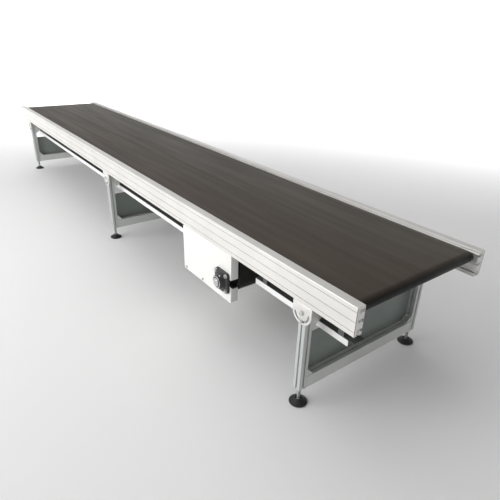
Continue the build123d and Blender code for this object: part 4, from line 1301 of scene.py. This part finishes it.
@dataclass
class GearMotor:
    """The gear motor: a ribbed gear case, a finned motor, a fan cowl and a terminal box with its gland."""

    case_share: float = 10 / 11     # gear case's length, of its width
    motor_share: float = 54 / 55    # motor's radius, of half the gear case's width
    case_inset: float = 0.004
    rib_count: int = 5
    rib_half: float = 0.0025
    fin_count: int = 28
    fin_height: float = 0.0055
    fin_thickness: float = 0.0022
    cowl_share: float = 0.22        # of the motor's length
    cowl_gap: float = 0.010
    slot_places: tuple[float, ...] = (0.32, 0.5, 0.68, 0.84)    # of the cowl's radius
    slot_half: float = 0.0022
    box_half: tuple[float, float] = (0.038, 0.035)
    box_sink: float = 0.008
    box_inset: float = 0.003
    lid_height: float = 0.006
    screw_inset: float = 0.007

    def build(self) -> None:
        """Model the gear motor's pieces and hand them to the frame."""
        low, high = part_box("gearmotor")
        pulley = centre("motor_pulley")
        half = (high.x - low.x) / 2
        axis = Vector((pulley.x, 0, pulley.z))
        gear_end = high.y - 2 * half * self.case_share
        radius = half * self.motor_share
        parts = [
            self.case(axis, half, gear_end, high.y), self.barrel(axis, radius, low.y, gear_end),
            self.cowl(axis, radius, low.y, gear_end),
            self.terminal_box(axis + Vector((0, (low.y + gear_end) / 2, radius - self.box_sink)), high.z),
        ]
        whole = smooth(joined("gear_motor", parts))
        place(wardrobe.dress(whole, "motor"), "bed", "motor", "gearmotor")

    def case(self, axis: Vector, half: float, start: float, end: float) -> bpy.types.Object:
        """Model the gear case with the ribs round it."""
        inner = half - self.case_inset
        case = block("case", (axis.x - inner, start, axis.z - inner), (axis.x + inner, end, axis.z + inner))
        parts = [rounded(case, 0.007, 3)]
        for number in range(self.rib_count):
            middle = start + (number + 0.5) * (end - start) / self.rib_count
            rib = block("rib", (axis.x - half, middle - self.rib_half, axis.z - half),
                        (axis.x + half, middle + self.rib_half, axis.z + half))
            parts.append(rounded(rib, 0.002, 1))
        return joined("case", parts)

    def barrel(self, axis: Vector, radius: float, start: float, end: float) -> bpy.types.Object:
        """Model the motor's finned barrel."""
        core, thin = radius - self.fin_height, self.fin_thickness / 2
        at = Vector((axis.x, end, axis.z))
        parts = [turned(disc("barrel", core, 0.0, end - start - self.cowl_gap), -SIDEWAYS, at)]
        length = (end - start) * (1 - self.cowl_share)
        fin = rounded(block("fin", (-thin, core - 0.001, 0.006), (thin, radius, length)), 0.0006, 1)
        for number in range(self.fin_count):
            twin = copied(fin, "fin_copy", Matrix.Rotation(2 * math.pi * number / self.fin_count, 4, "Z"))
            parts.append(turned(twin, -SIDEWAYS, at))
        bpy.data.objects.remove(fin)
        return joined("barrel", parts)

    def cowl(self, axis: Vector, radius: float, start: float, end: float) -> bpy.types.Object:
        """Model the fan cowl with the slots of its grille."""
        cowl = rounded(disc("cowl", radius, 0.0, (end - start) * self.cowl_share), 0.006, 3)
        for share in self.slot_places:
            middle = radius * share
            slot = ring("slot", middle + self.slot_half, middle - self.slot_half, -0.001, 0.004, 48)
            cowl = cut(cowl, slot)
        return turned(cowl, SIDEWAYS, Vector((axis.x, start, axis.z)))

    def terminal_box(self, foot: Vector, top: float) -> bpy.types.Object:
        """Model the terminal box, its lid, the lid's screws and the cable gland.

        Args:
            foot: the middle of the box's underside.
            top: the height of the lid's screws.

        Returns:
            The joined box.
        """
        half_x, half_y = self.box_half
        lid = top - self.lid_height
        box = block("box", (foot.x - half_x + self.box_inset, foot.y - half_y + self.box_inset, foot.z),
                    (foot.x + half_x - self.box_inset, foot.y + half_y - self.box_inset, lid))
        cap = block("lid", (foot.x - half_x, foot.y - half_y, lid - 0.001),
                    (foot.x + half_x, foot.y + half_y, top - 0.0012))
        parts = [rounded(box, 0.003, 2), rounded(cap, 0.002, 2)]
        for sign_x in SIDES.values():
            for sign_y in SIDES.values():
                spot = (foot.x + sign_x * (half_x - self.screw_inset),
                        foot.y + sign_y * (half_y - self.screw_inset), 0.0)
                parts.append(rounded(disc("screw", 0.003, top - 0.003, top, spot, 16), 0.0006, 1))
        gland = [(0.0, 0.0), (0.010, 0.0), (0.010, 0.006), (0.008, 0.007), (0.008, 0.012), (0.005, 0.015),
                 (0.0, 0.015)]
        spot = Vector((foot.x, foot.y - half_y + self.box_inset, (foot.z + lid) / 2 + 0.004))
        parts.append(turned(lathe("gland", gland, 12), -SIDEWAYS, spot))
        return joined("terminal_box", parts)


@dataclass
class Pulley:
    """A flanged, toothed pulley of the timing belt."""

    node: str
    body: str
    teeth: int
    hub_radius: float
    hub_proud: float = 0.0
    shaft_radius: float = 0.0
    tooth_depth: float = 0.0018
    width: float = 0.024
    rim: float = 0.002
    rim_height: float = 0.003
    shaft_end: float = 0.002

    def build(self) -> None:
        """Cut the gaps between the teeth, add the flanges and the hub, and hand the pulley to the frame."""
        low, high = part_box(self.node)
        radius = (high.x - low.x) / 2
        tread = radius - self.rim_height
        corners = 4 * self.teeth
        wheel = disc("tread", tread, self.rim, self.width - self.rim, sides=corners)
        scale = (tread - self.tooth_depth) / tread
        with editing(wheel, "VERT"):
            self.pick_gaps(wheel, 2 * math.pi / corners)
            bpy.ops.transform.resize(value=(scale, scale, 1), center_override=(0, 0, 0))
        parts = [wheel]
        for start in (0.0, self.width - self.rim):
            parts.append(rounded(disc("flange", radius, start, start + self.rim, sides=64), 0.0005, 1))
        parts.append(rounded(disc("hub", self.hub_radius, 0.0, self.width + self.hub_proud), 0.0006, 1))
        if self.shaft_radius:
            parts.append(disc("shaft", self.shaft_radius, 0.0, high.y - low.y - self.shaft_end, sides=40))
        axis = (low + high) / 2
        name = self.node + "_toothed"
        whole = turned(joined(name, parts), -SIDEWAYS, Vector((axis.x, high.y, axis.z)))
        place(wardrobe.dress(smooth(whole), "pulley"), self.body, "pulley", self.node)

    def pick_gaps(self, wheel: bpy.types.Object, step: float) -> None:
        """Select, in edit mode, the pairs of corners that the gaps between the teeth take."""
        bpy.ops.mesh.select_all(action="DESELECT")
        mesh = bmesh.from_edit_mesh(wheel.data)
        for corner in mesh.verts:
            corner.select_set(round(math.atan2(corner.co.y, corner.co.x) / step) % 4 in (0, 1))
        bmesh.update_edit_mesh(wheel.data)


# ---------------------------------------------------------------- nodes that keep their CAD shape
@dataclass
class EasedPiece:
    """A CAD node with its edges broken, as a bent sheet or a casting has them."""

    node: str
    body: str
    slot: str
    finish: str
    width: float
    name: str = ""

    def build(self) -> bpy.types.Object:
        """Copy the node, break its edges and hand the copy to the frame."""
        piece = eased_copy(self.node, self.name or self.node + "_eased", self.width)
        return place(wardrobe.dress(piece, self.finish), self.body, self.slot, self.node)


EASED_PIECES = [
    EasedPiece("front_drive_plate", "bed", "sheet", "white", 0.0005),
    EasedPiece("back_drive_plate", "bed", "sheet", "white", 0.0005),
    EasedPiece("drive_bottom_cover", "bed", "sheet", "white", 0.0004),
    EasedPiece("pivot_plates", "bed", "steel", "plate", 0.0009),
    EasedPiece("drum_bearings", "bed", "bearing", "housing", 0.0018),
    EasedPiece("motor_mount", "bed", "steel", "zinc", 0.0006),
    EasedPiece("timing_belt", "bed", "timing", "timing", 0.0005, "timing_belt_strap"),
    *(EasedPiece(f"{leg}_leg_brackets", f"{leg}_leg", "bracket", "bracket", 0.0008) for leg in LEGS),
]


def kept_nodes() -> dict[str, str]:
    """Give the finish of each CAD node that shows with its own mesh."""
    finishes = {"front_rail": "rail", "back_rail": "rail", "slider_bed": "bed", "bed_cross_ties": "bed",
                "roller_axles": "steel", "roller_brackets": "zinc"}
    for roller in ("head", "tail", "head_snub", "tail_snub"):
        finishes[f"{roller}_roller"] = "roller"
    for number in (1, 2, 3):
        finishes[f"return_roller_{number}"] = "roller"
    for leg in LEGS:
        finishes[f"{leg}_leg_crossbar"] = finishes[f"{leg}_leg_top_tie"] = "cross"
        finishes[f"{leg}_leg_panel"] = "panel"
        for side in SIDES:
            finishes[f"{leg}_leg_{side}_upright"] = "leg"
    return finishes


@dataclass
class GuardStrip:
    """The strip under the front rail: a light upright flange, and a top flange and hangers coloured dark as
    painted shade.
    """

    flange: float = 0.030
    sheet: float = 0.0025
    edge: float = 0.0004

    def build(self) -> None:
        """Copy the strip, give its top and hangers a dark coat of painted shade and hand it to the frame."""
        strip = eased_copy("guard_strips", "guard_strip_folded", self.edge)
        wardrobe.dress(strip, "strip", "strip_top_shade")
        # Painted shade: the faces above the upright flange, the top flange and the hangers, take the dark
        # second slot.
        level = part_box("guard_strips")[0].z + self.flange - self.sheet
        with editing(strip):
            bpy.ops.mesh.bisect(plane_co=(0, 0, level), plane_no=(0, 0, 1))
            pick(strip, lambda middle, normal: middle.z > level)
            strip.active_material_index = 1
            bpy.ops.object.material_slot_assign()
        place(strip, "bed", "sheet", "guard_strips")


# ---------------------------------------------------------------- stage, light and camera
@dataclass(frozen=True)
class Lamp:
    """A square soft lamp: where it hangs, what it points at, the length of its sides and its watts."""

    name: str
    at: Point
    towards: Point
    size: float
    power: float

    def hang(self) -> None:
        """Hang the lamp."""
        lamp = bpy.data.lights.new(self.name, "AREA")
        lamp.energy = self.power
        lamp.size = self.size
        holder = bpy.data.objects.new(self.name, lamp)
        holder.location = self.at
        holder.rotation_mode = "QUATERNION"
        holder.rotation_quaternion = (Vector(self.towards) - Vector(self.at)).to_track_quat("-Z", "Y")
        bpy.context.scene.collection.objects.link(holder)


LAMPS = (
    Lamp("front_bank", (-0.5, -5.5, 2.2), (0.0, 0.0, 0.3), 5.5, 230.0),
    Lamp("front_low", (0.0, -3.6, 0.45), (0.2, 0.0, 0.3), 1.2, 28.0),
    Lamp("overhead", (-1.0, 0.5, 4.6), (-0.5, 0.5, 0.0), 5.0, 36.0),
    Lamp("backdrop_left", (-7.0, 1.0, 6.0), (-13.0, 3.0, 0.0), 5.0, 900.0),
    Lamp("backdrop_right", (-1.0, 7.0, 6.0), (-4.0, 13.0, 0.0), 5.0, 900.0),
)


@dataclass
class Studio:
    """A plain pale floor that curves up all round, soft lamps and the camera."""

    floor_radius: float = 14.0
    floor_curve: float = 4.0
    curve_steps: int = 10
    floor_colour: Colour = (0.95, 0.95, 0.95)
    sky_bright: float = 0.75
    sky_dark: float = 0.04
    sky_towards: Point = (-0.69, -0.69, 0.2)
    camera_place: Point = (3.161, -1.449, 1.438)
    camera_turn: Point = (1.118, -0.028, 0.935)
    lens: float = 32.68
    sight: float = 100.0

    def build(self) -> None:
        """Build the floor, the world, the lamps and the camera."""
        self.floor()
        self.world()
        for lamp in LAMPS:
            lamp.hang()
        self.camera()

    def floor(self) -> None:
        """Build a round floor whose rim rises in a wide curve."""
        outline = [(0.0, 0.0), (self.floor_radius, 0.0)]
        for number in range(1, self.curve_steps + 1):
            angle = math.pi / 2 * number / self.curve_steps
            outline.append((self.floor_radius + self.floor_curve * math.sin(angle),
                            self.floor_curve * (1 - math.cos(angle))))
        floor = smooth(lathe("studio_floor", outline, 96))
        material = bpy.data.materials.new("studio_paint")
        material.use_nodes = True
        shader = material.node_tree.nodes["Principled BSDF"]
        shader.inputs["Base Color"].default_value = (*self.floor_colour, 1.0)
        shader.inputs["Roughness"].default_value = 0.9
        shader.inputs["Specular IOR Level"].default_value = 0.1
        floor.data.materials.append(material)

    def world(self) -> None:
        """Fill the room with white light, bright from the front and dim from the head end."""
        world = bpy.data.worlds.new("studio_air")
        world.use_nodes = True
        tree = world.node_tree
        background = tree.nodes["Background"]
        background.inputs["Color"].default_value = (1.0, 1.0, 1.0, 1.0)
        aim = tree.nodes.new("ShaderNodeTexCoord")
        dot = tree.nodes.new("ShaderNodeVectorMath")
        dot.operation = "DOT_PRODUCT"
        dot.inputs[1].default_value = self.sky_towards
        level = tree.nodes.new("ShaderNodeMapRange")
        for name, number in (("From Min", -1.0), ("From Max", 1.0), ("To Min", self.sky_dark),
                             ("To Max", self.sky_bright)):
            level.inputs[name].default_value = number
        tree.links.new(aim.outputs["Generated"], dot.inputs[0])
        tree.links.new(dot.outputs["Value"], level.inputs["Value"])
        tree.links.new(level.outputs["Result"], background.inputs["Strength"])
        bpy.context.scene.world = world
        bpy.context.scene.view_settings.view_transform = "Standard"

    def camera(self) -> None:
        """Set up the camera."""
        lens = bpy.data.cameras.new("camera")
        lens.lens = self.lens
        lens.clip_end = self.sight
        holder = bpy.data.objects.new("camera", lens)
        holder.location = self.camera_place
        holder.rotation_euler = self.camera_turn
        bpy.context.scene.collection.objects.link(holder)
        bpy.context.scene.camera = holder


def main() -> None:
    """Build the conveyor's pieces, dress them and set the stage."""
    logging.basicConfig(level=logging.INFO, format="%(name)s %(message)s")
    Studio().build()
    for node, finish in kept_nodes().items():
        wardrobe.dress(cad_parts[node], finish)
    Belt().build()
    for piece in EASED_PIECES:
        piece.build()
    GuardStrip().build()
    Drum().build()
    for side in SIDES:
        DrumBearing(side).build()
    GearMotor().build()
    Pulley("drum_pulley", "drum", 36, 0.0215, hub_proud=0.004).build()
    Pulley("motor_pulley", "motor_output", 24, 0.016, shaft_radius=0.010).build()
    FastenerSet("frame_bolts", "bed").build()
    for leg in LEGS:
        FastenerSet(f"{leg}_leg_bolts", f"{leg}_leg").build()
        for side in SIDES:
            LevellingFoot(leg, side).build()


if __name__ == "__main__":
    main()
